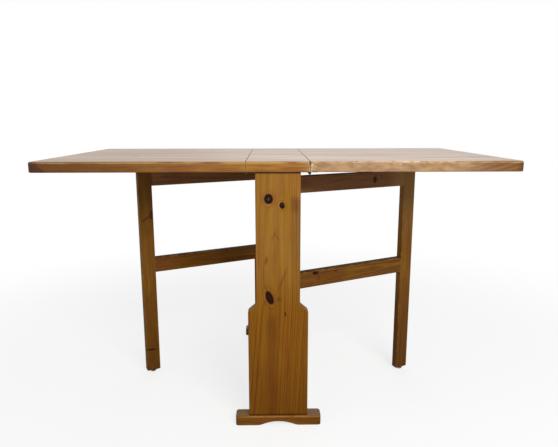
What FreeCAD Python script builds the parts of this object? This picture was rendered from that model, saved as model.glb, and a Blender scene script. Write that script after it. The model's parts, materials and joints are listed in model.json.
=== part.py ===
"""Butterfly folding table: a narrow trestle, two drop leaves and two gates that swing out to carry them.

Millimetres, +Z up. The origin is on the floor under the middle of the top, X runs along the opened
top and Y runs across it. The right side is +X, and every left-hand piece is the right-hand one
turned half a turn about Z.
"""

import FreeCAD, Part
import Sketcher
import math
import os
import re
from FreeCAD import Placement, Rotation, Vector

doc = FreeCAD.newDocument("ButterflyTable")

# Driving dimensions, in millimetres, and angles in degrees.
drivingSizes = {
    # top
    "overallHeight": 750,
    "topDepth": 680,
    "topThickness": 28,
    "centreWidth": 166,
    "leafLength": 559,
    "seamGap": 1.5,
    "topCornerRadius": 12,
    "upperArris": 5,
    "lowerArris": 3,
    # end panels
    "panelSetback": 8,
    "panelThickness": 28,
    "shoulderStep": 23,
    "panelWideTop": 334,
    "shoulderSlope": 50,
    "coveRadius": 14,
    "shoulderRadius": 10,
    "panelArris": 3,
    # feet
    "footLength": 242,
    "footHeight": 28,
    "footDepth": 42,
    "archSpan": 124,
    "archRise": 12,
    "archEaseRadius": 50,
    "footCornerRadius": 8,
    "footArris": 3.5,
    "footLowerArris": 1.5,
    # stretchers, cleats and pivot blocks
    "stretcherThickness": 22,
    "upperStretcherHeight": 60,
    "lowerStretcherHeight": 66,
    "lowerStretcherTop": 328,
    "stretcherArris": 2,
    "cleatSection": 22,
    "cleatSetback": 3,
    "cleatGap": 1,
    "blockWidth": 46,
    "blockLength": 46,
    "blockHeight": 40,
    # gates
    "gateThickness": 22,
    "legWidth": 45,
    "railHeight": 50,
    "lowerRailBottom": 357,
    "topRailDrop": 25,
    "gateOpenAngle": 26.5,
    "stileClearance": 4.5,
    "pivotInset": 111,
    "gateEndGap": 37.5,
    "gateArris": 1.5,
    "legToeChamfer": 4,
    "restGap": 0.3,
    "stileTopGap": 0.5,
    # gate pivots
    "pivotPinRadius": 4,
    "topPinLength": 43,
    "bottomPinLength": 52,
    "pinSeat": 28,
    "washerRadius": 10,
    "washerThickness": 1.5,
    "tightFit": 0.02,
    "runningFit": 0.1,
    # glides
    "glideRadius": 10,
    "glideHeight": 8,
    "glideRim": 3,
    "glideNailRadius": 1.8,
    "glideNailLength": 16,
    # gate stops under the leaves
    "stopLength": 60,
    "stopWidth": 18,
    "stopHeight": 15,
    "stopGap": 0.4,
    # leaf hinges
    "hingeLength": 50,
    "hingeInset": 18,
    "hingePanelGap": 2.75,
    "hingePlateThickness": 2,
    "knuckleRadius": 3.8,
    "knuckleDrop": 4.1,
    "knuckleGap": 0.3,
    "knuckleClear": 0.6,
    "hingePinRadius": 2,
    "hingeScrewSpacing": 17,
    # dowels
    "gateDowelRadius": 4,
    "gateDowelLength": 40,
    "gateDowelSpacing": 25,
    "frameDowelRadius": 5,
    "frameDowelLength": 50,
    "frameDowelSeat": 17,
    "stretcherDowelSpacing": 32,
    "footDowelSpacing": 70,
    "dowelFit": 0.05,
    "dowelEndGap": 0.5,
    # screws
    "hingeScrewRadius": 1.75,
    "hingeScrewHead": 3.4,
    "hingeScrewLength": 18,
    "woodScrewRadius": 2,
    "woodScrewHead": 4,
    "woodScrewLength": 35,
    "footScrewRadius": 2.5,
    "footScrewHead": 5,
    "footScrewLength": 60,
    "footScrewSpacing": 140,
    "blockScrewSpacing": 28,
    "cleatScrewInset": 11,
    "screwSlot": 1,
    "screwFit": 0.05,
    "cutMargin": 1,
}
knuckleCount = 5

# Places worked out from the driving dimensions.
workedOut = {
    "underside": "(overallHeight - topThickness)",
    "panelFace": "(topDepth / 2 - panelSetback - panelThickness)",
    "panelMiddle": "(topDepth / 2 - panelSetback - panelThickness / 2)",
    "narrowHalf": "(centreWidth / 2 - shoulderStep)",
    "leafStart": "(centreWidth / 2 + seamGap)",
    "seamMiddle": "(centreWidth / 2 + seamGap / 2)",
    "pivotOutset": "(stretcherThickness / 2 + stileClearance + legWidth / 2)",
    "pivotAlong": "(panelFace - pivotInset)",
    "topRailBottom": "(underside - topRailDrop - railHeight)",
    "gateReach": "(2 * panelFace - pivotInset - gateEndGap - legWidth / 2)",
    "stileBottom": "(lowerStretcherTop + washerThickness + restGap)",
    "stileTop": "(underside - stileTopGap)",
    "legTop": "(underside - restGap)",
    "cleatStart": "(stretcherThickness / 2 + cleatGap)",
    "cleatLength": "(narrowHalf - cleatSetback - cleatStart)",
    "cleatMiddle": "(cleatStart + cleatLength / 2)",
    "hingeMiddle": "(topDepth / 2 - hingeInset - hingeLength / 2)",
    "knucklePitch": "(hingeLength / %d)" % knuckleCount,
    "plateStart": "(knuckleRadius + knuckleClear)",
    "plateEnd": "(seamMiddle - narrowHalf - hingePanelGap)",
    "hingeScrewSetback": "((plateStart + plateEnd) / 2)",
    "stopMiddle": "(gateThickness / 2 + stopGap + stopWidth / 2)",
}

halfTurn = {"right": 0, "left": 180}
upward = Rotation()
towardRight = Rotation(Vector(0, 1, 0), 90)
towardBack = Rotation(Vector(1, 0, 0), -90)
towardFront = Rotation(Vector(1, 0, 0), 90)
tiny = 0.001

sheet = doc.addObject("Spreadsheet::Sheet", "Sizes")
for row, (name, number) in enumerate(drivingSizes.items(), 1):
    sheet.set("A%d" % row, name)
    sheet.set("B%d" % row, str(number))
    sheet.setAlias("B%d" % row, name)
doc.recompute()

subParts = []


# ---- helpers: sizes and places ----

def size(name):
    return float(sheet.get(name))


def bound(formula):
    """Write a formula on size names as an expression on the sheet."""
    def swap(found):
        word = found.group()
        if word in workedOut:
            return bound(workedOut[word])
        return "Sizes." + word if word in drivingSizes else word
    return re.sub(r"[A-Za-z]+", swap, formula)


def bind(thing, prop, formula):
    thing.setExpression(prop, bound(formula))


def place(thing, x="0", y="0", z="0", turn=upward):
    thing.Placement = Placement(Vector(), turn)
    for axis, formula in (("x", x), ("y", y), ("z", z)):
        bind(thing, "Placement.Base." + axis, formula)
    return thing


def placeOnGate(thing, side):
    """Gate pieces are drawn with the pivot at the origin and the gate along +X."""
    sign = "" if side == "right" else "-"
    place(thing, sign + "1 * pivotOutset", sign + "-1 * pivotAlong", turn=Rotation(Vector(0, 0, 1), 1))
    bind(thing, "Placement.Rotation.Angle", "(gateOpenAngle + %d) * 1 deg" % halfTurn[side])
    return thing


def placeOnSide(thing, side):
    thing.Placement = Placement(Vector(), Rotation(Vector(0, 0, 1), halfTurn[side]))
    return thing


def keep(label, thing):
    """Name a finished sub-part, which is written to a file of that name."""
    thing.Label = label
    subParts.append(thing)
    return thing


# ---- helpers: boards ----

def addSketch(body, role):
    sketch = body.newObject("Sketcher::SketchObject", body.Name + "Sketch")
    plane = next(feature for feature in body.Origin.OriginFeatures if feature.Role == role)
    sketch.AttachmentSupport = [(plane, "")]
    sketch.MapMode = "FlatFace"
    return sketch


def dimension(sketch, name, formula, *constraint):
    number = sketch.addConstraint(Sketcher.Constraint(*constraint))
    sketch.renameConstraint(number, name)
    bind(sketch, "Constraints." + name, formula)


def addPad(body, sketch, thickness, symmetric=False):
    pad = body.newObject("PartDesign::Pad", body.Name + "Pad")
    pad.Profile = sketch
    if symmetric:
        pad.SideType = "Symmetric"
    bind(pad, "Length", thickness)
    doc.recompute()
    return pad


def newBoard(name, across, along, high):
    """A board centred on Z, with its lower face on its own XY plane."""
    body = doc.addObject("PartDesign::Body", name)
    sketch = addSketch(body, "XY_Plane")
    corners = [Vector(-1, -1, 0), Vector(1, -1, 0), Vector(1, 1, 0), Vector(-1, 1, 0)]
    for number, corner in enumerate(corners):
        sketch.addGeometry(Part.LineSegment(corner, corners[(number + 1) % 4]), False)
    front, right, back, left = range(4)
    for side, following in ((front, right), (right, back), (back, left), (left, front)):
        sketch.addConstraint(Sketcher.Constraint("Coincident", side, 2, following, 1))
    for side in (front, back):
        sketch.addConstraint(Sketcher.Constraint("Horizontal", side))
    for side in (right, left):
        sketch.addConstraint(Sketcher.Constraint("Vertical", side))
    sketch.addConstraint(Sketcher.Constraint("Symmetric", front, 1, right, 2, -1, 1))
    dimension(sketch, "across", across, "DistanceX", front, 1, front, 2, 2.0)
    dimension(sketch, "along", along, "DistanceY", right, 1, right, 2, 2.0)
    addPad(body, sketch, high)
    return body


def pickEdges(feature, test):
    return ["Edge%d" % number for number, edge in enumerate(feature.Shape.Edges, 1) if test(edge)]


def dress(body, kind, prop, formula, test):
    """Round or bevel the edges that the test picks on the body's last feature."""
    feature = body.Tip
    names = pickEdges(feature, test)
    dressed = body.newObject("PartDesign::" + kind, body.Name + kind)
    dressed.Base = (feature, names)
    bind(dressed, prop, formula)
    doc.recompute()


def roundEdges(body, radius, test):
    dress(body, "Fillet", "Radius", radius, test)


def upright(edge):
    box = edge.BoundBox
    return box.ZLength > tiny and box.XLength < tiny and box.YLength < tiny


def lengthwise(edge):
    """Edges along X."""
    box = edge.BoundBox
    return box.XLength > tiny and box.YLength < tiny and box.ZLength < tiny


def crosswise(edge):
    """Edges along Y."""
    box = edge.BoundBox
    return box.YLength > tiny and box.XLength < tiny and box.ZLength < tiny


def level(edge, height):
    box = edge.BoundBox
    return box.ZLength < tiny and abs(box.ZMin - height) < tiny


def drilled(label, solid, cutters):
    """Cut holes in a solid with groups of hole shapes, and keep the result."""
    tools = doc.addObject("Part::Compound", label + "_tools")
    tools.Links = [linkTo(cutter) for cutter in cutters]
    cut = doc.addObject("Part::Cut", label)
    cut.Base = solid
    cut.Tool = tools
    return keep(label, cut)


# ---- helpers: things that repeat ----

def linkTo(thing):
    """A copy of an object that keeps the object's own place under its own."""
    link = doc.addObject("App::Link", thing.Name + "_copy")
    link.LinkedObject = thing
    link.LinkTransform = True
    return link


def groupOf(name, master, spots):
    """Copies of one master at a list of places: x, y and z formulas and a direction for its +Z."""
    copies = []
    for x, y, z, direction in spots:
        copies.append(place(linkTo(master), x, y, z, direction))
    group = doc.addObject("Part::Compound", name)
    group.Links = copies
    return group


def bothSides(name, group):
    """A group drawn for the right side, with its half-turned copy for the left."""
    pair = doc.addObject("Part::Compound", name)
    pair.Links = [placeOnSide(linkTo(group), side) for side in halfTurn]
    return pair


def keepForSide(label, group, side, placer=placeOnSide):
    copy = doc.addObject("Part::Compound", label)
    copy.Links = [linkTo(group)]
    placer(copy, side)
    return keep(label, copy)


def cylinder(name, radius, height, below="0"):
    """A round solid up its own Z axis, starting the given distance below the origin."""
    solid = doc.addObject("Part::Cylinder", name)
    bind(solid, "Radius", radius)
    bind(solid, "Height", height)
    return place(solid, z="-1 * (%s)" % below)


def cone(name, startRadius, endRadius, height, start):
    solid = doc.addObject("Part::Cone", name)
    bind(solid, "Radius1", startRadius)
    bind(solid, "Radius2", endRadius)
    bind(solid, "Height", height)
    return place(solid, z=start)


def box(name, xLow, xSize, yLow, ySize, zLow, zSize):
    solid = doc.addObject("Part::Box", name)
    bind(solid, "Length", xSize)
    bind(solid, "Width", ySize)
    bind(solid, "Height", zSize)
    return place(solid, xLow, yLow, zLow)


def fuse(name, pieces):
    fused = doc.addObject("Part::MultiFuse", name)
    fused.Shapes = pieces
    return fused


def makeScrew(kind):
    """A countersunk slotted screw with its head face at the origin, pointing up Z."""
    radius, head, length = kind + "Radius", kind + "Head", kind + "Length"
    headHeight = "(%s - %s)" % (head, radius)
    body = fuse(kind + "Body", [
        cone(kind + "HeadCone", head, radius, headHeight, "0"),
        cylinder(kind + "Shank", radius, "%s - %s" % (length, radius)),
        cone(kind + "Tip", radius, "%s / 4" % radius, radius, "%s - %s" % (length, radius)),
    ])
    slot = box(kind + "Slot", "-1 * " + head, "2 * " + head, "-screwSlot / 2", "screwSlot",
               "-screwSlot", "2 * screwSlot")
    screw = doc.addObject("Part::Cut", kind)
    screw.Base = body
    screw.Tool = slot
    return screw


def makeScrewHole(kind):
    """The hole for a screw of that kind: larger all round by the screw fit."""
    radius, head, length = kind + "Radius", kind + "Head", kind + "Length"
    return fuse(kind + "Hole", [
        cone(kind + "Sink", head + " + screwFit", radius + " + screwFit",
             "%s - %s" % (head, radius), "0"),
        cylinder(kind + "SinkMouth", head + " + screwFit", "cutMargin", "cutMargin"),
        cylinder(kind + "Bore", radius + " + screwFit", length + " + dowelEndGap"),
    ])


screwMasters = {kind: makeScrew(kind) for kind in ("hingeScrew", "woodScrew", "footScrew")}
holeMasters = {kind: makeScrewHole(kind) for kind in screwMasters}


def makeDowel(kind):
    """A dowel and its hole, both with their middle at the origin."""
    radius, length = kind + "Radius", kind + "Length"
    dowel = cylinder(kind, radius, length, length + " / 2")
    hole = cylinder(kind + "Hole", radius + " + dowelFit", length + " + 2 * dowelEndGap",
                    length + " / 2 + dowelEndGap")
    return dowel, hole


gateDowel, gateDowelHole = makeDowel("gateDowel")
frameDowel, frameDowelHole = makeDowel("frameDowel")


# ---- fastenings of the trestle, which the boards below are drilled for ----

ends = {"front": "-", "back": ""}
signs = ("-", "")

footScrewSpots = [("%s1 * footScrewSpacing / 2" % side, "%s1 * panelMiddle" % end, "0", upward)
                  for side in signs for end in signs]
footScrews = groupOf("footScrewSet", screwMasters["footScrew"], footScrewSpots)
footScrewHoles = groupOf("footScrewHoles", holeMasters["footScrew"], footScrewSpots)

footDowelSpots = [("%s1 * footDowelSpacing / 2" % side, "%s1 * panelMiddle" % end,
                   "footHeight - frameDowelSeat + frameDowelLength / 2", upward)
                  for side in signs for end in signs]
stretcherDowelSpots = [("0", "%s1 * (panelFace + frameDowelSeat - frameDowelLength / 2)" % end,
                        "%s %s stretcherDowelSpacing / 2" % (middle, step), towardBack)
                       for end in signs
                       for middle in ("underside - upperStretcherHeight / 2",
                                      "lowerStretcherTop - lowerStretcherHeight / 2")
                       for step in "-+"]
footDowels = groupOf("footDowelSet", frameDowel, footDowelSpots)
footDowelHoles = groupOf("footDowelHoles", frameDowelHole, footDowelSpots)
stretcherDowels = groupOf("stretcherDowelSet", frameDowel, stretcherDowelSpots)
stretcherDowelHoles = groupOf("stretcherDowelHoles", frameDowelHole, stretcherDowelSpots)

cleatScrewSpots = []
for side in signs:
    for end, direction in (("-", towardFront), ("", towardBack)):
        cleatScrewSpots.append(("%s1 * (cleatMiddle - cleatScrewInset)" % side,
                                "%s1 * (panelFace - cleatSection / 2)" % end,
                                "underside - cleatSection", upward))
        cleatScrewSpots.append(("%s1 * (cleatMiddle + cleatScrewInset)" % side,
                                "%s1 * (panelFace - cleatSection)" % end,
                                "underside - cleatSection / 2", direction))
cleatScrews = groupOf("cleatScrewSet", screwMasters["woodScrew"], cleatScrewSpots)
cleatScrewHoles = groupOf("cleatScrewHoles", holeMasters["woodScrew"], cleatScrewSpots)

blockScrewSpots = [("-stretcherThickness / 2", "-pivotAlong %s blockScrewSpacing / 2" % step,
                    "lowerStretcherTop - blockHeight / 2", towardRight) for step in "-+"]
blockScrews = bothSides("blockScrewSet",
                        groupOf("blockScrewPair", screwMasters["woodScrew"], blockScrewSpots))
blockScrewHoles = bothSides("blockScrewHoles",
                            groupOf("blockHolePair", holeMasters["woodScrew"], blockScrewSpots))

# ---- leaf hinge fastenings, drawn for the right side ----


def hingeScrewSpots(setback):
    return [("seamMiddle %s hingeScrewSetback" % setback,
             "%s1 * hingeMiddle + %d * hingeScrewSpacing" % (end, step),
             "underside - hingePlateThickness", upward)
            for end in signs for step in (-1, 0, 1)]


centreHingeScrews = groupOf("centreHingeScrewSet", screwMasters["hingeScrew"], hingeScrewSpots("-"))
centreHingeHoles = groupOf("centreHingeHoles", holeMasters["hingeScrew"], hingeScrewSpots("-"))
leafHingeScrews = groupOf("leafHingeScrewSet", screwMasters["hingeScrew"], hingeScrewSpots("+"))
leafHingeHoles = groupOf("leafHingeHoles", holeMasters["hingeScrew"], hingeScrewSpots("+"))

hingePinSpots = [("seamMiddle", "%s1 * hingeMiddle" % end, "underside - knuckleDrop", towardBack)
                 for end in signs]
hingePins = groupOf("hingePinSet",
                    cylinder("hingePin", "hingePinRadius", "hingeLength", "hingeLength / 2"),
                    hingePinSpots)
hingePinHoles = groupOf("hingePinHoles",
                        cylinder("hingePinHole", "hingePinRadius + runningFit",
                                 "hingeLength + 2 * cutMargin", "hingeLength / 2 + cutMargin"),
                        hingePinSpots)

# ---- gate pivots, stops and dowels, drawn on the gate ----

topPin = cylinder("topPin", "pivotPinRadius", "topPinLength", "pinSeat - stileTop")
bottomPin = cylinder("bottomPin", "pivotPinRadius", "bottomPinLength",
                     "bottomPinLength - pinSeat - stileBottom")
topPinSeat = cylinder("topPinSeat", "pivotPinRadius + tightFit", "topPinLength + dowelEndGap",
                      "pinSeat + dowelEndGap - stileTop")
bottomPinSeat = cylinder("bottomPinSeat", "pivotPinRadius + tightFit",
                         "bottomPinLength + dowelEndGap", "bottomPinLength - pinSeat - stileBottom")
topPinBore = cylinder("topPinBore", "pivotPinRadius + runningFit", "topPinLength + dowelEndGap",
                      "pinSeat - stileTop")
bottomPinBore = cylinder("bottomPinBore", "pivotPinRadius + runningFit",
                         "bottomPinLength + dowelEndGap",
                         "bottomPinLength + dowelEndGap - pinSeat - stileBottom")
topPinBores = bothSides("topPinBores", placeOnGate(linkTo(topPinBore), "right"))

railMiddles = ("topRailBottom + railHeight / 2", "lowerRailBottom + railHeight / 2")
gateDowelSpots = [(along, "0", "%s %s gateDowelSpacing / 2" % (middle, step), towardRight)
                  for along in ("legWidth / 2", "gateReach - legWidth / 2")
                  for middle in railMiddles for step in "-+"]
gateDowels = groupOf("gateDowelSet", gateDowel, gateDowelSpots)
gateDowelHoles = groupOf("gateDowelHoles", gateDowelHole, gateDowelSpots)

glideNailHole = place(cylinder("glideNailHole", "glideNailRadius + screwFit",
                               "glideNailLength + dowelEndGap"),
                      "gateReach", "0", "glideHeight")

stopScrewSpots = [("gateReach %s stopLength / 3" % step, "-stopMiddle", "underside - stopHeight", upward)
                  for step in "-+"]
stopScrews = groupOf("stopScrewSet", screwMasters["woodScrew"], stopScrewSpots)
stopScrewHoles = groupOf("stopScrewHoles", holeMasters["woodScrew"], stopScrewSpots)
stopHolesInLeaf = groupOf("stopHolesInLeaf", holeMasters["woodScrew"], stopScrewSpots)
placeOnGate(stopHolesInLeaf, "right")


# ---- top ----

def makeCentreBoard():
    board = newBoard("centreBoard", "centreWidth", "topDepth", "topThickness")
    roundEdges(board, "upperArris",
               lambda edge: lengthwise(edge) and level(edge, size("topThickness")))
    roundEdges(board, "lowerArris", lambda edge: lengthwise(edge) and level(edge, 0))
    place(board, z="underside")
    hingeHoles = bothSides("centreBoardHingeHoles", centreHingeHoles)
    drilled("centre_board", board, [cleatScrewHoles, hingeHoles, topPinBores])


def makeLeaf(side):
    leaf = newBoard(side + "Leaf", "leafLength", "topDepth", "topThickness")
    inner = -size("leafLength") / 2

    def outside(edge):
        return edge.BoundBox.XMax > inner + tiny

    roundEdges(leaf, "topCornerRadius", lambda edge: upright(edge) and outside(edge))
    roundEdges(leaf, "upperArris", lambda edge: level(edge, size("topThickness")) and outside(edge))
    roundEdges(leaf, "lowerArris", lambda edge: level(edge, 0) and outside(edge))
    place(leaf, "leafStart + leafLength / 2", "0", "underside")
    placeOnSide(drilled(side + "_leaf", leaf, [leafHingeHoles, stopHolesInLeaf]), side)


# ---- trestle ----

def makePanel(end, sign):
    """End panel: a narrow upper half that steps out over an ogee shoulder to a wide lower half."""
    panel = doc.addObject("PartDesign::Body", end + "Panel")
    sketch = addSketch(panel, "XZ_Plane")
    wide = size("centreWidth") / 2
    narrow = wide - size("shoulderStep")
    wideTop = size("panelWideTop") - size("footHeight")
    height = size("overallHeight") - size("topThickness") - size("footHeight")
    slope = math.radians(size("shoulderSlope"))
    shoulder = size("shoulderRadius")
    cove = size("coveRadius")
    turned = 1 - math.cos(slope)
    rampStart = Vector(wide - shoulder * turned, wideTop + shoulder * math.sin(slope), 0)
    rampWidth = wide - narrow - (shoulder + cove) * turned
    rampEnd = rampStart + Vector(-rampWidth, rampWidth / math.tan(slope), 0)
    narrowStart = rampEnd.y + cove * math.sin(slope)
    upAxis = Vector(0, 0, 1)
    shoulderCircle = Part.Circle(Vector(wide - shoulder, wideTop, 0), upAxis, shoulder)
    coveCircle = Part.Circle(Vector(narrow + cove, narrowStart, 0), upAxis, cove)
    outline = [
        Part.LineSegment(Vector(0, 0, 0), Vector(wide, 0, 0)),
        Part.LineSegment(Vector(wide, 0, 0), Vector(wide, wideTop, 0)),
        Part.ArcOfCircle(shoulderCircle, 0, slope),
        Part.LineSegment(rampStart, rampEnd),
        Part.ArcOfCircle(coveCircle, math.pi, math.pi + slope),
        Part.LineSegment(Vector(narrow, narrowStart, 0), Vector(narrow, height, 0)),
        Part.LineSegment(Vector(narrow, height, 0), Vector(0, height, 0)),
        Part.LineSegment(Vector(0, height, 0), Vector(0, 0, 0)),
    ]
    base, wideSide, shoulderArc, ramp, coveArc, narrowSide, crown, axis = range(len(outline))
    sketch.addGeometry(outline, False)
    for constraint in (
        ("Coincident", base, 1, -1, 1), ("Coincident", base, 2, wideSide, 1),
        ("Tangent", wideSide, 2, shoulderArc, 1), ("Tangent", shoulderArc, 2, ramp, 1),
        ("Tangent", ramp, 2, coveArc, 2), ("Tangent", coveArc, 1, narrowSide, 1),
        ("Coincident", narrowSide, 2, crown, 1), ("Coincident", crown, 2, axis, 1),
        ("Coincident", axis, 2, base, 1), ("Horizontal", base), ("Vertical", wideSide),
        ("Vertical", narrowSide), ("Horizontal", crown), ("Vertical", axis),
    ):
        sketch.addConstraint(Sketcher.Constraint(*constraint))
    dimension(sketch, "wideHalf", "centreWidth / 2", "DistanceX", base, 1, base, 2, wide)
    dimension(sketch, "narrowHalf", "narrowHalf", "DistanceX", crown, 2, crown, 1, narrow)
    dimension(sketch, "wideHeight", "panelWideTop - footHeight",
              "DistanceY", wideSide, 1, wideSide, 2, wideTop)
    dimension(sketch, "height", "underside - footHeight", "DistanceY", axis, 2, axis, 1, height)
    dimension(sketch, "shoulder", "shoulderRadius", "Radius", shoulderArc, shoulder)
    dimension(sketch, "cove", "coveRadius", "Radius", coveArc, cove)
    dimension(sketch, "slope", "shoulderSlope * 1 deg", "Angle", shoulderArc, slope)
    mirrorHalf(panel, addPad(panel, sketch, "panelThickness", symmetric=True))

    def arris(edge):
        box = edge.BoundBox
        atEnd = level(edge, 0) or level(edge, height)
        return box.YLength < tiny and not atEnd

    roundEdges(panel, "panelArris", arris)
    place(panel, "0", sign + "1 * panelMiddle", "footHeight")
    drilled(end + "_end_panel", panel,
            [footScrewHoles, footDowelHoles, stretcherDowelHoles, cleatScrewHoles])


def mirrorHalf(body, pad):
    """Complete a body whose right half is drawn, by mirroring it in its own YZ plane."""
    mirrored = body.newObject("PartDesign::Mirrored", body.Name + "Mirrored")
    mirrored.Originals = [pad]
    plane = next(feature for feature in body.Origin.OriginFeatures if feature.Role == "YZ_Plane")
    mirrored.MirrorPlane = (plane, [""])
    mirrored.Refine = True
    body.Tip = mirrored
    doc.recompute()


def makeFoot(end, sign):
    """Foot: a bar with a shallow arch under its middle that leaves a flat pad at each end."""
    foot = doc.addObject("PartDesign::Body", end + "Foot")
    sketch = addSketch(foot, "XZ_Plane")
    half = size("footLength") / 2
    height = size("footHeight")
    archHalf = size("archSpan") / 2
    rise = size("archRise")
    ease = size("archEaseRadius")
    slope = 2 * math.atan(rise / archHalf)
    crownRadius = archHalf / math.sin(slope) - ease
    upAxis = Vector(0, 0, 1)
    quarter = math.pi / 2
    crownCircle = Part.Circle(Vector(0, rise - crownRadius, 0), upAxis, crownRadius)
    easeCircle = Part.Circle(Vector(archHalf, ease, 0), upAxis, ease)
    outline = [
        Part.ArcOfCircle(crownCircle, quarter - slope, quarter),
        Part.ArcOfCircle(easeCircle, 3 * quarter - slope, 3 * quarter),
        Part.LineSegment(Vector(archHalf, 0, 0), Vector(half, 0, 0)),
        Part.LineSegment(Vector(half, 0, 0), Vector(half, height, 0)),
        Part.LineSegment(Vector(half, height, 0), Vector(0, height, 0)),
        Part.LineSegment(Vector(0, height, 0), Vector(0, rise, 0)),
    ]
    crownArc, easeArc, pad, outerEnd, upper, axis = range(len(outline))
    sketch.addGeometry(outline, False)
    for constraint in (
        ("Tangent", crownArc, 1, easeArc, 1), ("Tangent", easeArc, 2, pad, 1),
        ("Coincident", pad, 2, outerEnd, 1), ("Coincident", outerEnd, 2, upper, 1),
        ("Coincident", upper, 2, axis, 1), ("Coincident", axis, 2, crownArc, 2),
        ("Horizontal", upper), ("Vertical", outerEnd), ("PointOnObject", pad, 1, -1),
        ("PointOnObject", pad, 2, -1), ("PointOnObject", axis, 1, -2), ("PointOnObject", axis, 2, -2),
        ("PointOnObject", crownArc, 3, -2),
    ):
        sketch.addConstraint(Sketcher.Constraint(*constraint))
    dimension(sketch, "ease", "archEaseRadius", "Radius", easeArc, ease)
    dimension(sketch, "archHalf", "archSpan / 2", "DistanceX", -1, 1, pad, 1, archHalf)
    dimension(sketch, "footHalf", "footLength / 2", "DistanceX", -1, 1, pad, 2, half)
    dimension(sketch, "rise", "archRise", "DistanceY", -1, 1, axis, 2, rise)
    dimension(sketch, "height", "footHeight", "DistanceY", outerEnd, 1, outerEnd, 2, height)
    mirrorHalf(foot, addPad(foot, sketch, "footDepth", symmetric=True))
    roundEdges(foot, "footCornerRadius", upright)
    roundEdges(foot, "footArris", lambda edge: level(edge, height))

    def lowerEdge(edge):
        box = edge.BoundBox
        faceEdge = box.YLength < tiny and box.XLength > tiny
        return box.ZMax < rise + tiny and (faceEdge or (level(edge, 0) and box.XLength > tiny))

    roundEdges(foot, "footLowerArris", lowerEdge)
    place(foot, "0", sign + "1 * panelMiddle", "0")
    drilled(end + "_foot", foot, [footScrewHoles, footDowelHoles])


def makeStretchers():
    for name, height, bottom, cutters in (
        ("upper", "upperStretcherHeight", "underside - upperStretcherHeight", [stretcherDowelHoles]),
        ("lower", "lowerStretcherHeight", "lowerStretcherTop - lowerStretcherHeight",
         [stretcherDowelHoles, blockScrewHoles]),
    ):
        board = newBoard(name + "Stretcher", "stretcherThickness", "2 * panelFace", height)
        roundEdges(board, "stretcherArris", crosswise)
        place(board, z=bottom)
        drilled(name + "_stretcher", board, cutters)


def makeCleats():
    for end, endSign in ends.items():
        for side, sideSign in (("left", "-"), ("right", "")):
            name = "%s_%s_cleat" % (end, side)
            board = newBoard(end + side + "Cleat", "cleatLength", "cleatSection", "cleatSection")
            place(board, sideSign + "1 * cleatMiddle",
                  endSign + "1 * (panelFace - cleatSection / 2)", "underside - cleatSection")
            drilled(name, board, [cleatScrewHoles])


def makePivotBlock(side):
    board = newBoard(side + "Block", "blockWidth", "blockLength", "blockHeight")
    roundEdges(board, "stretcherArris",
               lambda edge: upright(edge) and edge.BoundBox.XMin > 0)
    place(board, "stretcherThickness / 2 + blockWidth / 2", "-pivotAlong",
          "lowerStretcherTop - blockHeight")
    boreCopy = placeOnGate(linkTo(bottomPinBore), "right")
    placeOnSide(drilled(side + "_pivot_block", board, [blockScrewHoles, boreCopy]), side)


# ---- gates ----

def makeUpright(side, name, along, bottom, top, cutters, toe=False):
    """A gate stile or leg, of the same section, with softened long edges."""
    height = "%s - %s" % (top, bottom)
    board = newBoard(side + name.title().replace("_", ""), "legWidth", "gateThickness", height)
    roundEdges(board, "gateArris", upright)
    if toe:
        board = bevelToe(board, height)
    place(board, along, "0", bottom)
    placeOnGate(drilled("%s_gate_%s" % (side, name), board, cutters), side)


def bevelToe(board, height):
    """Bevel a leg's lower end on all four sides, by what it shares with a bevelled block round it."""
    block = newBoard(board.Name + "Bevel", "legWidth + 2 * cutMargin", "gateThickness + 2 * cutMargin",
                     height + " + cutMargin")
    dress(block, "Chamfer", "Size", "legToeChamfer + cutMargin", lambda edge: level(edge, 0))
    bevelled = doc.addObject("Part::Common", board.Name + "Bevelled")
    bevelled.Base = board
    bevelled.Tool = block
    return bevelled


def makeRail(side, name, bottom):
    board = newBoard(side + name.title().replace("_", ""), "gateReach - legWidth", "gateThickness",
                     "railHeight")
    roundEdges(board, "gateArris", lengthwise)
    place(board, "gateReach / 2", "0", bottom)
    placeOnGate(drilled("%s_gate_%s" % (side, name), board, [gateDowelHoles]), side)


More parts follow.
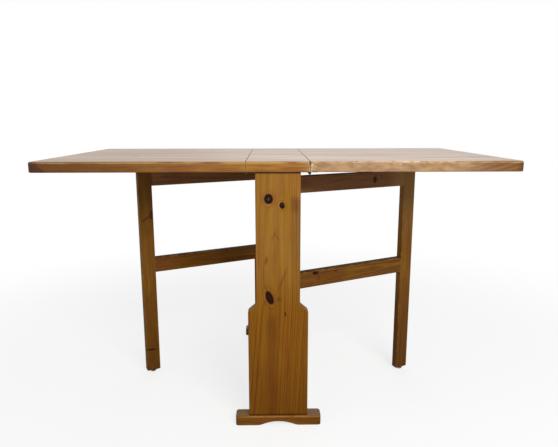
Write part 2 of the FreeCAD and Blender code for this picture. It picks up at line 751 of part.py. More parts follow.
def makeGlide():
    """A domed metal glide with a nail, its dome standing on the floor at the origin."""
    glide = doc.addObject("PartDesign::Body", "glideBody")
    sketch = addSketch(glide, "XZ_Plane")
    radius = size("glideRadius")
    height = size("glideHeight")
    dome = height - size("glideRim")
    nail = size("glideNailRadius")
    nailTop = height + size("glideNailLength")
    domeRadius = (radius ** 2 + dome ** 2) / (2 * dome)
    sweep = math.asin(radius / domeRadius)
    down = -math.pi / 2
    domeCircle = Part.Circle(Vector(0, domeRadius, 0), Vector(0, 0, 1), domeRadius)
    outline = [
        Part.ArcOfCircle(domeCircle, down, down + sweep),
        Part.LineSegment(Vector(radius, dome, 0), Vector(radius, height, 0)),
        Part.LineSegment(Vector(radius, height, 0), Vector(nail, height, 0)),
        Part.LineSegment(Vector(nail, height, 0), Vector(nail, nailTop - nail, 0)),
        Part.LineSegment(Vector(nail, nailTop - nail, 0), Vector(0, nailTop, 0)),
        Part.LineSegment(Vector(0, nailTop, 0), Vector(0, 0, 0)),
    ]
    domeArc, rim, seat, shank, point, axis = range(len(outline))
    sketch.addGeometry(outline, False)
    for constraint in (
        ("Coincident", domeArc, 1, -1, 1), ("Coincident", domeArc, 2, rim, 1),
        ("Coincident", rim, 2, seat, 1), ("Coincident", seat, 2, shank, 1),
        ("Coincident", shank, 2, point, 1), ("Coincident", point, 2, axis, 1),
        ("Coincident", axis, 2, domeArc, 1), ("Vertical", rim), ("Horizontal", seat),
        ("Vertical", shank), ("Vertical", axis), ("PointOnObject", domeArc, 3, -2),
    ):
        sketch.addConstraint(Sketcher.Constraint(*constraint))
    dimension(sketch, "radius", "glideRadius", "DistanceX", -1, 1, rim, 1, radius)
    dimension(sketch, "rim", "glideRim", "DistanceY", rim, 1, rim, 2, height - dome)
    dimension(sketch, "seatHeight", "glideHeight", "DistanceY", -1, 1, seat, 1, height)
    dimension(sketch, "nail", "glideNailRadius", "DistanceX", -1, 1, shank, 1, nail)
    dimension(sketch, "point", "glideNailRadius", "DistanceY", point, 1, point, 2, nail)
    dimension(sketch, "top", "glideHeight + glideNailLength", "DistanceY", axis, 2, axis, 1, nailTop)
    turned = glide.newObject("PartDesign::Revolution", "glideTurned")
    turned.Profile = sketch
    turned.ReferenceAxis = (sketch, ["V_Axis"])
    turned.Angle = 360
    place(glide, "gateReach")
    return glide


glideMaster = makeGlide()


def makeGate(side):
    makeUpright(side, "pivot_stile", "0", "stileBottom", "stileTop",
                [gateDowelHoles, topPinSeat, bottomPinSeat])
    makeUpright(side, "outer_leg", "gateReach", "glideHeight", "legTop",
                [gateDowelHoles, glideNailHole], toe=True)
    makeRail(side, "top_rail", "topRailBottom")
    makeRail(side, "lower_rail", "lowerRailBottom")
    for name, master in (("dowels", gateDowels), ("glide", glideMaster), ("top_pin", topPin),
                         ("bottom_pin", bottomPin)):
        keepForSide("%s_gate_%s" % (side, name), master, side, placeOnGate)


def makeWasher(side):
    """The washer that a gate turns on, lying on its pivot block."""
    ring = cylinder(side + "WasherRing", "washerRadius", "washerThickness", "-lowerStretcherTop")
    hole = cylinder(side + "WasherHole", "pivotPinRadius + runningFit", "3 * washerThickness",
                    "washerThickness - lowerStretcherTop")
    washer = doc.addObject("Part::Cut", side + "Washer")
    washer.Base = ring
    washer.Tool = hole
    placeOnGate(washer, side)
    keep(side + "_pivot_washer", washer)


def makeGateStop(side):
    """A block under the leaf that the opened gate comes to rest against."""
    board = newBoard(side + "Stop", "stopLength", "stopWidth", "stopHeight")
    roundEdges(board, "stretcherArris", upright)
    place(board, "gateReach", "-stopMiddle", "underside - stopHeight")
    placeOnGate(drilled(side + "_gate_stop", board, [stopScrewHoles]), side)
    keepForSide(side + "_gate_stop_screws", stopScrews, side, placeOnGate)


# ---- hinges ----

def hingePlate(name, end, towardLeaf):
    """One plate of a hinge with its knuckles, which alternate with the other plate's."""
    start = "%s1 * hingeMiddle - hingeLength / 2" % end
    plateBottom = "underside - hingePlateThickness"
    plateLow = "seamMiddle + plateStart" if towardLeaf else "seamMiddle - plateEnd"
    pieces = [box(name + "Plate", plateLow, "plateEnd - plateStart", start, "hingeLength",
                  plateBottom, "hingePlateThickness")]
    for number in range(1 if towardLeaf else 0, knuckleCount, 2):
        along = "%s + %d * knucklePitch + knuckleGap / 2" % (start, number)
        length = "knucklePitch - knuckleGap"
        webLow = "seamMiddle" if towardLeaf else "seamMiddle - plateStart"
        pieces.append(box("%sWeb%d" % (name, number), webLow, "plateStart", along, length,
                          plateBottom, "hingePlateThickness"))
        knuckle = cylinder("%sKnuckle%d" % (name, number), "knuckleRadius", length)
        pieces.append(place(knuckle, "seamMiddle", along, "underside - knuckleDrop", towardBack))
    return fuse(name, pieces)


def makeHinges(side):
    for label, towardLeaf, cutters in (("centre", False, centreHingeHoles),
                                       ("leaf", True, leafHingeHoles)):
        plates = doc.addObject("Part::Compound", "%s_%s_plates" % (side, label))
        plates.Links = [hingePlate("%s%s%sPlate" % (side, end, label), sign, towardLeaf)
                        for end, sign in ends.items()]
        name = "%s_hinge_%s_plates" % (side, label)
        placeOnSide(drilled(name, plates, [hingePinHoles, cutters]), side)
    keepForSide(side + "_hinge_pins", hingePins, side)
    keepForSide(side + "_hinge_centre_screws", centreHingeScrews, side)
    keepForSide(side + "_hinge_leaf_screws", leafHingeScrews, side)


# ---- the whole table ----

makeCentreBoard()
for end, sign in ends.items():
    makePanel(end, sign)
    makeFoot(end, sign)
makeStretchers()
makeCleats()
for label, fasteners in (("foot_screws", footScrews), ("foot_dowels", footDowels),
                         ("stretcher_dowels", stretcherDowels), ("cleat_screws", cleatScrews),
                         ("pivot_block_screws", blockScrews)):
    keep(label, fasteners)
for side in halfTurn:
    makePivotBlock(side)
    makeWasher(side)
    makeGate(side)
    makeLeaf(side)
    makeGateStop(side)
    makeHinges(side)
doc.recompute()

failed = [thing.Label for thing in doc.Objects
          if "Invalid" in thing.State or "Error" in thing.State]
if failed:
    raise RuntimeError("features that failed: " + ", ".join(failed))
for thing in subParts:
    if thing.Shape.isNull() or not thing.Shape.isValid() or not thing.Shape.Solids:
        raise RuntimeError("no valid solid in " + thing.Label)

os.makedirs("parts", exist_ok=True)
for thing in subParts:
    thing.Shape.exportStep("parts/%s.step" % thing.Label)
    print("%-28s %2d solid(s) %12.1f mm3" % (thing.Label, len(thing.Shape.Solids), thing.Shape.Volume))
print("sub-parts written:", len(subParts))
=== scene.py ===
import json
import math
import bmesh
import bpy
from mathutils import Matrix, Vector

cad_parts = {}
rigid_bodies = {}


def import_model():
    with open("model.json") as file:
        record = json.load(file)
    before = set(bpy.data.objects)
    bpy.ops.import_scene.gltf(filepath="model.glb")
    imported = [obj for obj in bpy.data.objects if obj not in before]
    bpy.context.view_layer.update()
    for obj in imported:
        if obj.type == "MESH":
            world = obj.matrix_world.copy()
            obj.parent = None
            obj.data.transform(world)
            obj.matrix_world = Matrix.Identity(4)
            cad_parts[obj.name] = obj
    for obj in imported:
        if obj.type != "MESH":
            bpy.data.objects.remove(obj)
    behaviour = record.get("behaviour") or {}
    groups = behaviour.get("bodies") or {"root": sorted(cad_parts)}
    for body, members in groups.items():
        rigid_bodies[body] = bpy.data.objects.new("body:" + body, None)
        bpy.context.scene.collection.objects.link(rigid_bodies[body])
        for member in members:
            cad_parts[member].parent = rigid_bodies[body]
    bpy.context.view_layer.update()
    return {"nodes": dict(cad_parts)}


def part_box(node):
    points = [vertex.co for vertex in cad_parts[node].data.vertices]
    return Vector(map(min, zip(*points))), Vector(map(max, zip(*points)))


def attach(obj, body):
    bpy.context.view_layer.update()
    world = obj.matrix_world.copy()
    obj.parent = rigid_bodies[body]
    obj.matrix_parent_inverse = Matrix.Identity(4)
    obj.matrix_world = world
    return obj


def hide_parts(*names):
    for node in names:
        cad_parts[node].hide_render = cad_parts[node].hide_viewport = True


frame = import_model()
nodes = frame["nodes"]
print("stage: frame loaded,", len(nodes), "pieces")


def paint(red, green, blue):
    # a colour as seen on screen, 0 to 255, as the linear values that shaders take
    def linear(part):
        share = part / 255
        return share / 12.92 if share <= 0.04045 else ((share + 0.055) / 1.055) ** 2.4
    return (linear(red), linear(green), linear(blue), 1.0)


class Wire:
    # one socket of a node tree, so that shader maths reads like ordinary sums

    def __init__(self, tree, socket):
        self.tree = tree
        self.socket = socket

    def node(self, kind, settings=None, sockets=None, output=0):
        # any other node: its type, its settings, then the values or wires of its sockets
        made = self.tree.nodes.new(kind)
        for name, value in (settings or {}).items():
            setattr(made, name, value)
        for name, value in (sockets or {}).items():
            if isinstance(value, Wire):
                self.tree.links.new(value.socket, made.inputs[name])
            else:
                made.inputs[name].default_value = value
        return Wire(self.tree, made.outputs[output])

    def maths(self, operation, *others):
        return self.node("ShaderNodeMath", {"operation": operation}, dict(enumerate((self, *others))))

    def flipped(self, operation, other):
        return self.node("ShaderNodeMath", {"operation": operation}, {0: other, 1: self})

    def __add__(self, other):
        return self.maths("ADD", other)

    def __sub__(self, other):
        return self.maths("SUBTRACT", other)

    def __mul__(self, other):
        return self.maths("MULTIPLY", other)

    def __truediv__(self, other):
        return self.maths("DIVIDE", other)

    def __pow__(self, other):
        return self.maths("POWER", other)

    def __radd__(self, other):
        return self.flipped("ADD", other)

    def __rsub__(self, other):
        return self.flipped("SUBTRACT", other)

    def __rmul__(self, other):
        return self.flipped("MULTIPLY", other)

    def __abs__(self):
        return self.maths("ABSOLUTE")

    def smooth(self, low, high, first=0.0, last=1.0):
        # goes gently from first to last as this value goes from low to high
        return self.node("ShaderNodeMapRange", {"interpolation_type": "SMOOTHSTEP"},
                         {"Value": self, "From Min": low, "From Max": high,
                          "To Min": first, "To Max": last})

    def mix(self, first, second, blend="MIX"):
        # this value is the share of the second colour; sockets that share a name go by number
        return self.node("ShaderNodeMix", {"data_type": "RGBA", "blend_type": blend},
                         {0: self, 6: first, 7: second}, 2)

    def moved(self, other):
        return self.node("ShaderNodeVectorMath", {"operation": "ADD"}, {0: self, 1: other})

    def noise(self, scale, detail=2.0, roughness=0.5):
        return self.node("ShaderNodeTexNoise", {},
                         {"Vector": self, "Scale": scale, "Detail": detail, "Roughness": roughness})

    def grain(self, scales, detail=2.0, roughness=0.5):
        # noise with a scale along the grain, one across it and one into the board
        stretched = self.node("ShaderNodeVectorMath", {"operation": "MULTIPLY"}, {0: self, 1: scales})
        return stretched.noise(1.0, detail, roughness)

    def noiseLine(self, scale, detail=1.0):
        return self.node("ShaderNodeTexNoise", {"noise_dimensions": "1D"},
                         {"W": self, "Scale": scale, "Detail": detail})

    def chance(self):
        # an even random value from 0 to 1, the same wherever this value is the same
        return self.node("ShaderNodeTexWhiteNoise", {"noise_dimensions": "1D"}, {"W": self})

    def parts(self):
        first = self.node("ShaderNodeSeparateXYZ", {}, {0: self})
        return [Wire(self.tree, socket) for socket in first.socket.node.outputs]


def layer(colour, value, recipe, mask=None, blend="MIX"):
    # lay the recipe's colour on, from none at its start value to its share at its end value
    over, start, end, share = recipe
    strength = value.smooth(start, end, 0.0, share)
    return (strength if mask is None else strength * mask).mix(colour, over, blend)


def newObject(name, data):
    made = bpy.data.objects.new(name, data)
    bpy.context.scene.collection.objects.link(made)
    return made


def newMaterial(name):
    # a bare material, its shader node and the object's own coordinates as a wire
    material = bpy.data.materials.new(name)
    material.use_nodes = True
    tree = material.node_tree
    place = tree.nodes.new("ShaderNodeTexCoord")
    return material, tree.nodes["Principled BSDF"], Wire(tree, place.outputs["Object"])


def feed(shader, **values):
    for name, value in values.items():
        socket = shader.inputs[name.replace("_", " ")]
        if isinstance(value, Wire):
            value.tree.links.new(value.socket, socket)
        else:
            socket.default_value = value


def wear(node, material):
    nodes[node].data.materials.clear()
    nodes[node].data.materials.append(material)


# varnished pine, as on every board; a piece's own settings change some of these. A noise is
# its scales along, across and into the board, its detail and its roughness. A "From" or a
# "Depth" is where a mark starts and where it is full, then its weakest and its strongest
pineLook = {
    "early": paint(153, 108, 42),   # the wide pale part of a growth ring
    "late": paint(108, 62, 8),      # the thin dark part that ends it
    "amber": paint(160, 112, 12),   # yellow and red patches in the finish
    "russet": paint(146, 86, 44),
    "stain": paint(104, 58, 8),     # slow darker clouds in the finish
    "dirt": paint(44, 26, 14),      # what settles in joints and pores
    "worn": paint(184, 138, 72),    # where the finish is rubbed thin
    "seed": 0.0,                    # each board has its own, which moves the pattern each way
    "seedSteps": (1.37, 0.71, 2.13),
    "pith": (0.0, 0.0),             # where the rings have their middle, across and deep,
    "lean": (0.0, 0.0),             # and how far that moves for each metre along
    "ringWidth": 0.0032,
    "uneven": 2.2,                  # how much the rings bunch up, in rings, and how often
    "unevenScale": 70.0,
    "faintest": 0.4,                # the faintest ring beside the strongest
    "lateFrom": 0.35,               # the shares of a ring where it starts to darken, is
    "lateTo": 0.88,                 # darkest and starts to turn pale again
    "lateEnd": 0.94,
    "ringContrast": 0.75,
    "flame": 0.5,                   # how strong the rings are where they lie flat to the face
    "flameWidth": 0.024,            # and how far from the pith they are full
    "bend": 0.0,                    # how much the grain slants in a board's lower half
    "upperRings": 1.0,              # how strong the rings are in its upper half
    "upperFrom": (-0.08, 0.12),
    "wander": 0.024,                # how far the rings stray along a board, slowly and fast
    "wanderNoise": ((1.7, 10.2, 10.2), 1.0),
    "ripple": 0.00192,
    "rippleNoise": ((9.0, 54.0, 54.0), 2.0),
    "patches": 0.4,
    "patchNoise": ((9.0, 27.0, 27.0), 2.0),
    "amberFrom": (0.5, 0.68),
    "russetFrom": (0.48, 0.32),
    "streaks": 0.3,
    "streakNoise": ((5.0, 120.0, 120.0), 3.0, 0.6),
    "darkStreak": (0.42, 0.72),
    "paleStreak": (0.5, 0.25, 0.0, 0.5),
    "clouds": 0.25,
    "cloudNoise": ((0.8, 4.8, 4.8), 1.0),
    "cloudFrom": (0.35, 0.7),
    "threadNoise": ((26.0, 1300.0, 1300.0), 2.0, 0.6),
    "threadFrom": (0.5, 0.75, 0.0, 0.22),
    "poreNoise": ((110.0, 2300.0, 2300.0), 0.0),
    "poreFrom": (0.68, 0.74, 0.0, 0.5),
    "poreRing": (0.1, 0.5),         # pores show where a ring is this dark
    "endGrain": 0.6,
    "endDepth": (0.004, 0.0005),
    "edgeWear": 0.35,
    "edgeDepth": (0.0045, 0.0005),
    "edgeNoise": (55.0, 3.0),
    "edgeFrom": (0.42, 0.66),
    "grime": 0.0,                   # dust and dirt, and painted shade, on a rail's upper face
    "grimeDepth": (0.003, 0.0004),
    "stripWidth": 0.0,              # glued strips, where there are any
    "stripSpread": 0.9,             # how far aside a strip's pith may lie, in strips,
    "stripDepth": 0.05,             # and how much deeper
    "stripShuffle": 17.3,           # makes a second chance value of the first
    "stripShift": 5.0,
    "stripShade": 0.22,
    "glueLine": (0.493, 0.5, 0.0, 0.35),
    "raggedNoise": (330.0, 2.0),    # the frayed outline of a knot
    "roughness": 0.38,
    "streakDull": 0.16,             # what the marks add to the roughness
    "rubbedDull": 0.2,
    "ringDull": 0.05,
    "grimeDull": 0.6,
    "mirror": 0.13,                 # how much the varnish reflects straight on
    "gloss": 0.08,
    "coatRoughness": 0.2,
    "peelNoise": (260.0, 1.0),      # orange peel in the varnish
    "relief": 0.0001,               # metres, and how much each pattern has of it
    "reliefStrength": 0.3,
    "ringRelief": 0.45,
    "threadRelief": 0.4,
    "peelRelief": 0.5,
}

# a knot, if its own entry doesn't say otherwise; distances from its middle, where 1 is its rim
knotLook = {
    "heart": paint(50, 22, 10),
    "rim": paint(12, 3, 0),
    "glow": paint(112, 58, 10),
    "speck": paint(150, 144, 136),
    "turn": 0,                      # degrees that it leans
    "push": 0.0,                    # how far it pushes the growth rings aside
    "hidden": False,                # pushes them, and isn't drawn
    "depth": 1.0,                   # how strong it is
    "edge": (1.1, 0.94),
    "heartFrom": (0.8, 0.15),
    "specks": 0.0,                  # pale specks in its heart
    "speckFrom": (0.55, 0.68),
    "speckReach": (0.6, 0.3),
    "halo": 2.3,
    "haloEdge": 1.1,
    "haloDepth": 0.34,
    "ring": 0.35,                   # how strong the broken pale and dark rings round it are
    "ringFrom": (0.4, 0.6),
    "paleRing": (1.34, 0.2, 0.04),  # the middle of each, and where it starts and is full
    "darkRing": (1.75, 0.16, 0.0),
    "wobble": 0.3,                  # how uneven its outline is, smoothly and raggedly
    "fray": 0.5,
}

xAxis, yAxis, zAxis = Vector((1, 0, 0)), Vector((0, 1, 0)), Vector((0, 0, 1))


def boardFrame(names, along, across):
    # where boards lie: their middle, how their grain runs and half their size each way
    axes = (along.normalized(), across.normalized(), along.cross(across).normalized())
    points = [vertex.co for name in names for vertex in nodes[name].data.vertices]
    spans = [(min(point.dot(axis) for point in points), max(point.dot(axis) for point in points))
             for axis in axes]
    centre = sum((axis * (low + high) / 2 for axis, (low, high) in zip(axes, spans)), Vector())
    return {"centre": centre, "turn": Matrix(axes).transposed().to_euler(),
            "half": [(high - low) / 2 for low, high in spans]}


def edgeDistance(local, half):
    # how far a point is from the nearest arris of its board
    ends = [size - abs(part) for part, size in zip(local, half)]
    lesser = ends[0].maths("MINIMUM", ends[1])
    greater = ends[0].maths("MAXIMUM", ends[1])
    return lesser.maths("MAXIMUM", greater.maths("MINIMUM", ends[2]))


def knotReach(along, across, knot):
    # distance from the middle of an oval knot that leans by its turn; 1 is its rim
    turn = math.radians(knot["turn"])
    first = along - knot["at"][0]
    second = across - knot["at"][1]
    longWay = (first * math.cos(turn) + second * math.sin(turn)) / knot["size"][0]
    shortWay = (second * math.cos(turn) - first * math.sin(turn)) / knot["size"][1]
    return (longWay * longWay + shortWay * shortWay) ** 0.5


def paintKnot(colour, knot, reach, look, ripple, ragged):
    # one knot over the wood: a soft halo, a pale ring, a dark one and a heart with a few specks
    wobble = reach + (ripple - 0.5) * knot["wobble"] + (ragged - 0.5) * knot["fray"]
    heart = wobble.smooth(*knot["heartFrom"]).mix(knot["rim"], knot["heart"])
    specks = ragged.smooth(*knot["speckFrom"]) * reach.smooth(*knot["speckReach"]) * knot["specks"]
    heart = specks.mix(heart, knot["speck"])
    colour = layer(colour, wobble, (knot["glow"], knot["halo"], knot["haloEdge"], knot["haloDepth"]))
    broken = ripple.smooth(*knot["ringFrom"], 0.0, knot["ring"])
    for ringName, over in (("paleRing", look["worn"]), ("darkRing", knot["glow"])):
        middle, start, end = knot[ringName]
        colour = layer(colour, abs(wobble - middle), (over, start, end, 1.0), broken)
    return layer(colour, wobble, (heart, *knot["edge"], knot["depth"]))


def pine(name, board, changes, knots=(), finish=None):
    # varnished pine, solid right through: growth rings round a pith line beside the board
    look = dict(pineLook, **changes)
    seed, pith, lean = look["seed"], look["pith"], look["lean"]
    knots = [dict(knotLook, **knot) for knot in knots]
    material, shader, raw = newMaterial(name)
    local = raw.node("ShaderNodeMapping", {"vector_type": "TEXTURE"},
                     {"Vector": raw, "Location": board["centre"], "Rotation": board["turn"]})
    along, across, deep = local.parts()
    drift = local.moved([step * seed for step in look["seedSteps"]])
    side, depth = across - pith[0], deep - pith[1]
    if look["stripWidth"]:
        place = across / look["stripWidth"] + 0.5
        strip = (place.maths("FLOOR") + seed).chance()
        within = place.maths("FRACT") - 0.5
        side = (within + (strip - 0.5) * look["stripSpread"]) * look["stripWidth"]
        depth = depth + (strip * look["stripShuffle"]).maths("FRACT") * look["stripDepth"]
        drift = drift.moved(strip.node("ShaderNodeCombineXYZ", {}, {"X": strip * look["stripShift"]}))

    # the rings, which stray along the board and bend round its knots
    ripple = drift.grain(*look["rippleNoise"])
    side = side - along * lean[0] - (drift.grain(*look["wanderNoise"]) - 0.5) * look["wander"]
    side = side - along.maths("MINIMUM", 0.0) * look["bend"]
    depth = depth - along * lean[1]
    radius = (side * side + depth * depth) ** 0.5 + (ripple - 0.5) * look["ripple"]
    reaches = [knotReach(along, across, knot) for knot in knots]
    for knot, reach in zip(knots, reaches):
        radius = radius + (reach * reach * -0.5).maths("EXPONENT") * knot["push"]
    turns = radius / look["ringWidth"] + radius.noiseLine(look["unevenScale"]) * look["uneven"]
    ring = turns.maths("FRACT")
    strength = (turns.maths("FLOOR") + seed).chance() * (1.0 - look["faintest"]) + look["faintest"]
    late = ring.smooth(look["lateFrom"], look["lateTo"]) * ring.smooth(1.0, look["lateEnd"]) * strength
    late = late * abs(side).smooth(0.0, look["flameWidth"], look["flame"], 1.0)
    late = late * along.smooth(*look["upperFrom"], 1.0, look["upperRings"])

    # the colour, from the wood itself up to what lies on its finish
    streaks = drift.grain(*look["streakNoise"])
    threads = drift.grain(*look["threadNoise"])
    hue = drift.grain(*look["patchNoise"])
    colour = hue.smooth(*look["amberFrom"], 0.0, look["patches"]).mix(look["early"], look["amber"])
    colour = hue.smooth(*look["russetFrom"], 0.0, look["patches"]).mix(colour, look["russet"])
    colour = (late * look["ringContrast"]).mix(colour, look["late"])
    colour = (streaks.smooth(*look["darkStreak"]) * look["streaks"]).mix(colour, look["late"])
    colour = (streaks.smooth(*look["paleStreak"]) * look["streaks"]).mix(colour, look["worn"])
    clouds = drift.grain(*look["cloudNoise"]).smooth(*look["cloudFrom"], 0.0, look["clouds"])
    colour = clouds.mix(colour, look["stain"])
    colour = threads.smooth(*look["threadFrom"]).mix(colour, look["stain"])
    pores = drift.grain(*look["poreNoise"]).smooth(*look["poreFrom"]) * late.smooth(*look["poreRing"])
    colour = pores.mix(colour, look["dirt"])
    if look["stripWidth"]:
        colour = (strip * look["stripShade"]).mix(colour, look["late"])
        colour = abs(within).smooth(*look["glueLine"]).mix(colour, look["dirt"])
    ends = (board["half"][0] - abs(along)).smooth(*look["endDepth"])
    colour = (ends * look["endGrain"]).mix(colour, look["stain"])
    ragged = drift.noise(*look["raggedNoise"])
    for knot, reach in zip(knots, reaches):
        if not knot["hidden"]:
            colour = paintKnot(colour, knot, reach, look, ripple, ragged)
    # dust and dirt on a rail's upper face, with painted shade there too
    dustAndShade = (board["half"][1] - across).smooth(*look["grimeDepth"]) * look["grime"]
    colour = dustAndShade.mix(colour, look["dirt"])
    edge = edgeDistance((along, across, deep), board["half"]).smooth(*look["edgeDepth"])
    rubbed = edge * drift.noise(*look["edgeNoise"]).smooth(*look["edgeFrom"])
    colour = (rubbed * look["edgeWear"]).mix(colour, look["worn"])

    shine = look["roughness"] + (streaks - 0.5) * look["streakDull"] + rubbed * look["rubbedDull"]
    shine = shine + late * look["ringDull"] + dustAndShade * look["grimeDull"]
    gloss = look["gloss"]
    if finish:
        colour, shine, gloss = finish(look, raw.parts(), drift, colour, shine, gloss)
    height = late * look["ringRelief"] + threads * look["threadRelief"]
    height = height + raw.noise(*look["peelNoise"]) * look["peelRelief"]
    bump = height.node("ShaderNodeBump", {}, {
        "Height": height, "Strength": look["reliefStrength"], "Distance": look["relief"]})
    feed(shader, Base_Color=colour, Roughness=shine, Normal=bump, Coat_Weight=gloss,
         Coat_Roughness=look["coatRoughness"], Specular_IOR_Level=look["mirror"])
    return material


# colours that more than one layer of the top has
straw = paint(214, 184, 128)
umber = paint(96, 52, 8)
shade = paint(62, 32, 14)
bareWood = paint(222, 200, 172)

# the top, three boards with one grain. A layer is its colour, the values between which it grows
# and its share; places are metres from the middle, and depths are metres under the upper face
topLook = {
    "seed": 3.0,
    "pith": (0.0, -0.035),
    "lean": (0.012, 0.01),
    "early": paint(165, 120, 64),
    "late": paint(106, 63, 24),
    "worn": bareWood,
    "stripWidth": 0.113,
    "ringWidth": 0.0046,
    "ringContrast": 0.95,
    "flame": 0.75,
    "endGrain": 0.45,
    "edgeWear": 0.0,
    "roughness": 0.42,
    "mirror": 0.3,
    "gloss": 0.1,
    "faceGloss": 0.42,              # the upper face shines more than the edges
    "faceDepth": (0.003, 0.0006),
    "flatDepth": (0.0003, 0.0001),
    "frontDepth": (0.014, 0.002),   # from the front edge
    "grainNoise": ((2.6, 41.6, 41.6), 4.0, 0.6),
    "blotchNoise": ((26.0, 78.0, 78.0), 4.0, 0.65),
    "speckNoise": ((120.0, 240.0, 240.0), 3.0, 0.7),
    "edgeHueNoise": ((11.0, 44.0, 99.0), 2.0),
    "figureNoise": ((34.0, 34.0, 85.0), 2.0),
    "flakeNoise": ((52.0, 234.0, 234.0), 4.0, 0.7),
    "faceDark": (paint(84, 50, 22), 0.5, 0.66, 0.26),
    "facePale": (straw, 0.48, 0.34, 0.24),
    "edgeYellow": (paint(172, 118, 30), 0.42, 0.62, 0.55),
    "edgeRed": (paint(138, 74, 30), 0.5, 0.36, 0.55),
    "faded": paint(174, 141, 110),  # the right leaf's front edge paler: partly a bleached finish, partly painted light
    "fadedFrom": (0.05, 0.13),
    "fadedTo": (0.62, 0.48),
    "fadedShare": (0.25, 0.9),      # evenly, and more by blotches
    "figurePale": (straw, 0.5, 0.62, 0.2),
    "figureDark": (paint(140, 96, 62), 0.48, 0.38, 0.42),
    # the left leaf's front edge darker towards its end: partly painted shade, partly a deeper finish
    "leftTone": (umber, -0.04, -0.56, 0.8),
    "rightTone": (paint(124, 86, 60), 0.44, 0.60, 0.65),
    "bandCount": 84.0,              # slanting dark bands near both ends, to the metre
    "bandTurn": (-0.3, 0.3, 0.6, -0.28),  # one lean on the left, one on the right
    "bandWobble": 0.014,
    "bandShape": ((0.1, 0.8), (1.0, 0.9)),
    "bands": (umber, 0.46, 0.6, 0.5),
    "corners": (shade, 0.0255, 0.0025, 0.7),  # from the ends
    "wedge": (shade, 0.008, -0.004, 0.7),  # a dark wedge at the left end
    "wedgePlace": 0.0115,
    "wedgeSlope": 1.29,
    "wedgeWobble": 0.01,
    "chipDepth": (0.0115, 0.0015),  # flaked varnish along the right leaf's upper arris, with painted glints
    "chipMix": (0.35, 0.7, 0.05),   # how far blotches, flakes and height decide
    "chipEdge": (0.565, 0.63),
    "chipFrom": (0.09, 0.24),
    "chipTo": (0.5, 0.4),
    "chipShare": (0.06, 0.8),       # everywhere, and in that stretch
    "arrisDepth": (0.0065, 0.003),
    # a painted highlight along the front edge's upper arris
    "arris": (straw, 0.3, 0.7, 0.45),
    "seamWood": (paint(232, 192, 140), 0.0011, 0.0009, 1.0),  # painted light on a seam's inner walls, from the middle of a seam
    "seamInside": (0.0015, 0.003),
    "seamDirt": (pineLook["dirt"], 0.0024, 0.001, 0.7),
    "seamSpecks": (0.3, 0.6),
    "blot": (pineLook["dirt"], 0.004, 0.0015, 0.8),  # dirt at the front end of the right seam
    "blotDepth": (0.0115, 0.006),
    "splinters": (bareWood, 0.024, 0.004, 0.8),
    "splinterSpecks": (0.54, 0.6),
    "splinterFrom": (0.07, 0.09),
    "arrisDull": 0.45,              # what the wear adds to the roughness
    "dullDepth": (0.006, 0.0035),
    "blotchDull": 0.06,
    "chipDull": -0.12,
    "grainDull": 0.32,
}
topBoards = ("left_leaf", "centre_board", "right_leaf")
topFrame = boardFrame(topBoards, xAxis, yAxis)
halfLength, halfDepth, halfThickness = topFrame["half"]
topHeight = topFrame["centre"].z + halfThickness
seamPlace = (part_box("centre_board")[1].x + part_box("right_leaf")[0].x) / 2


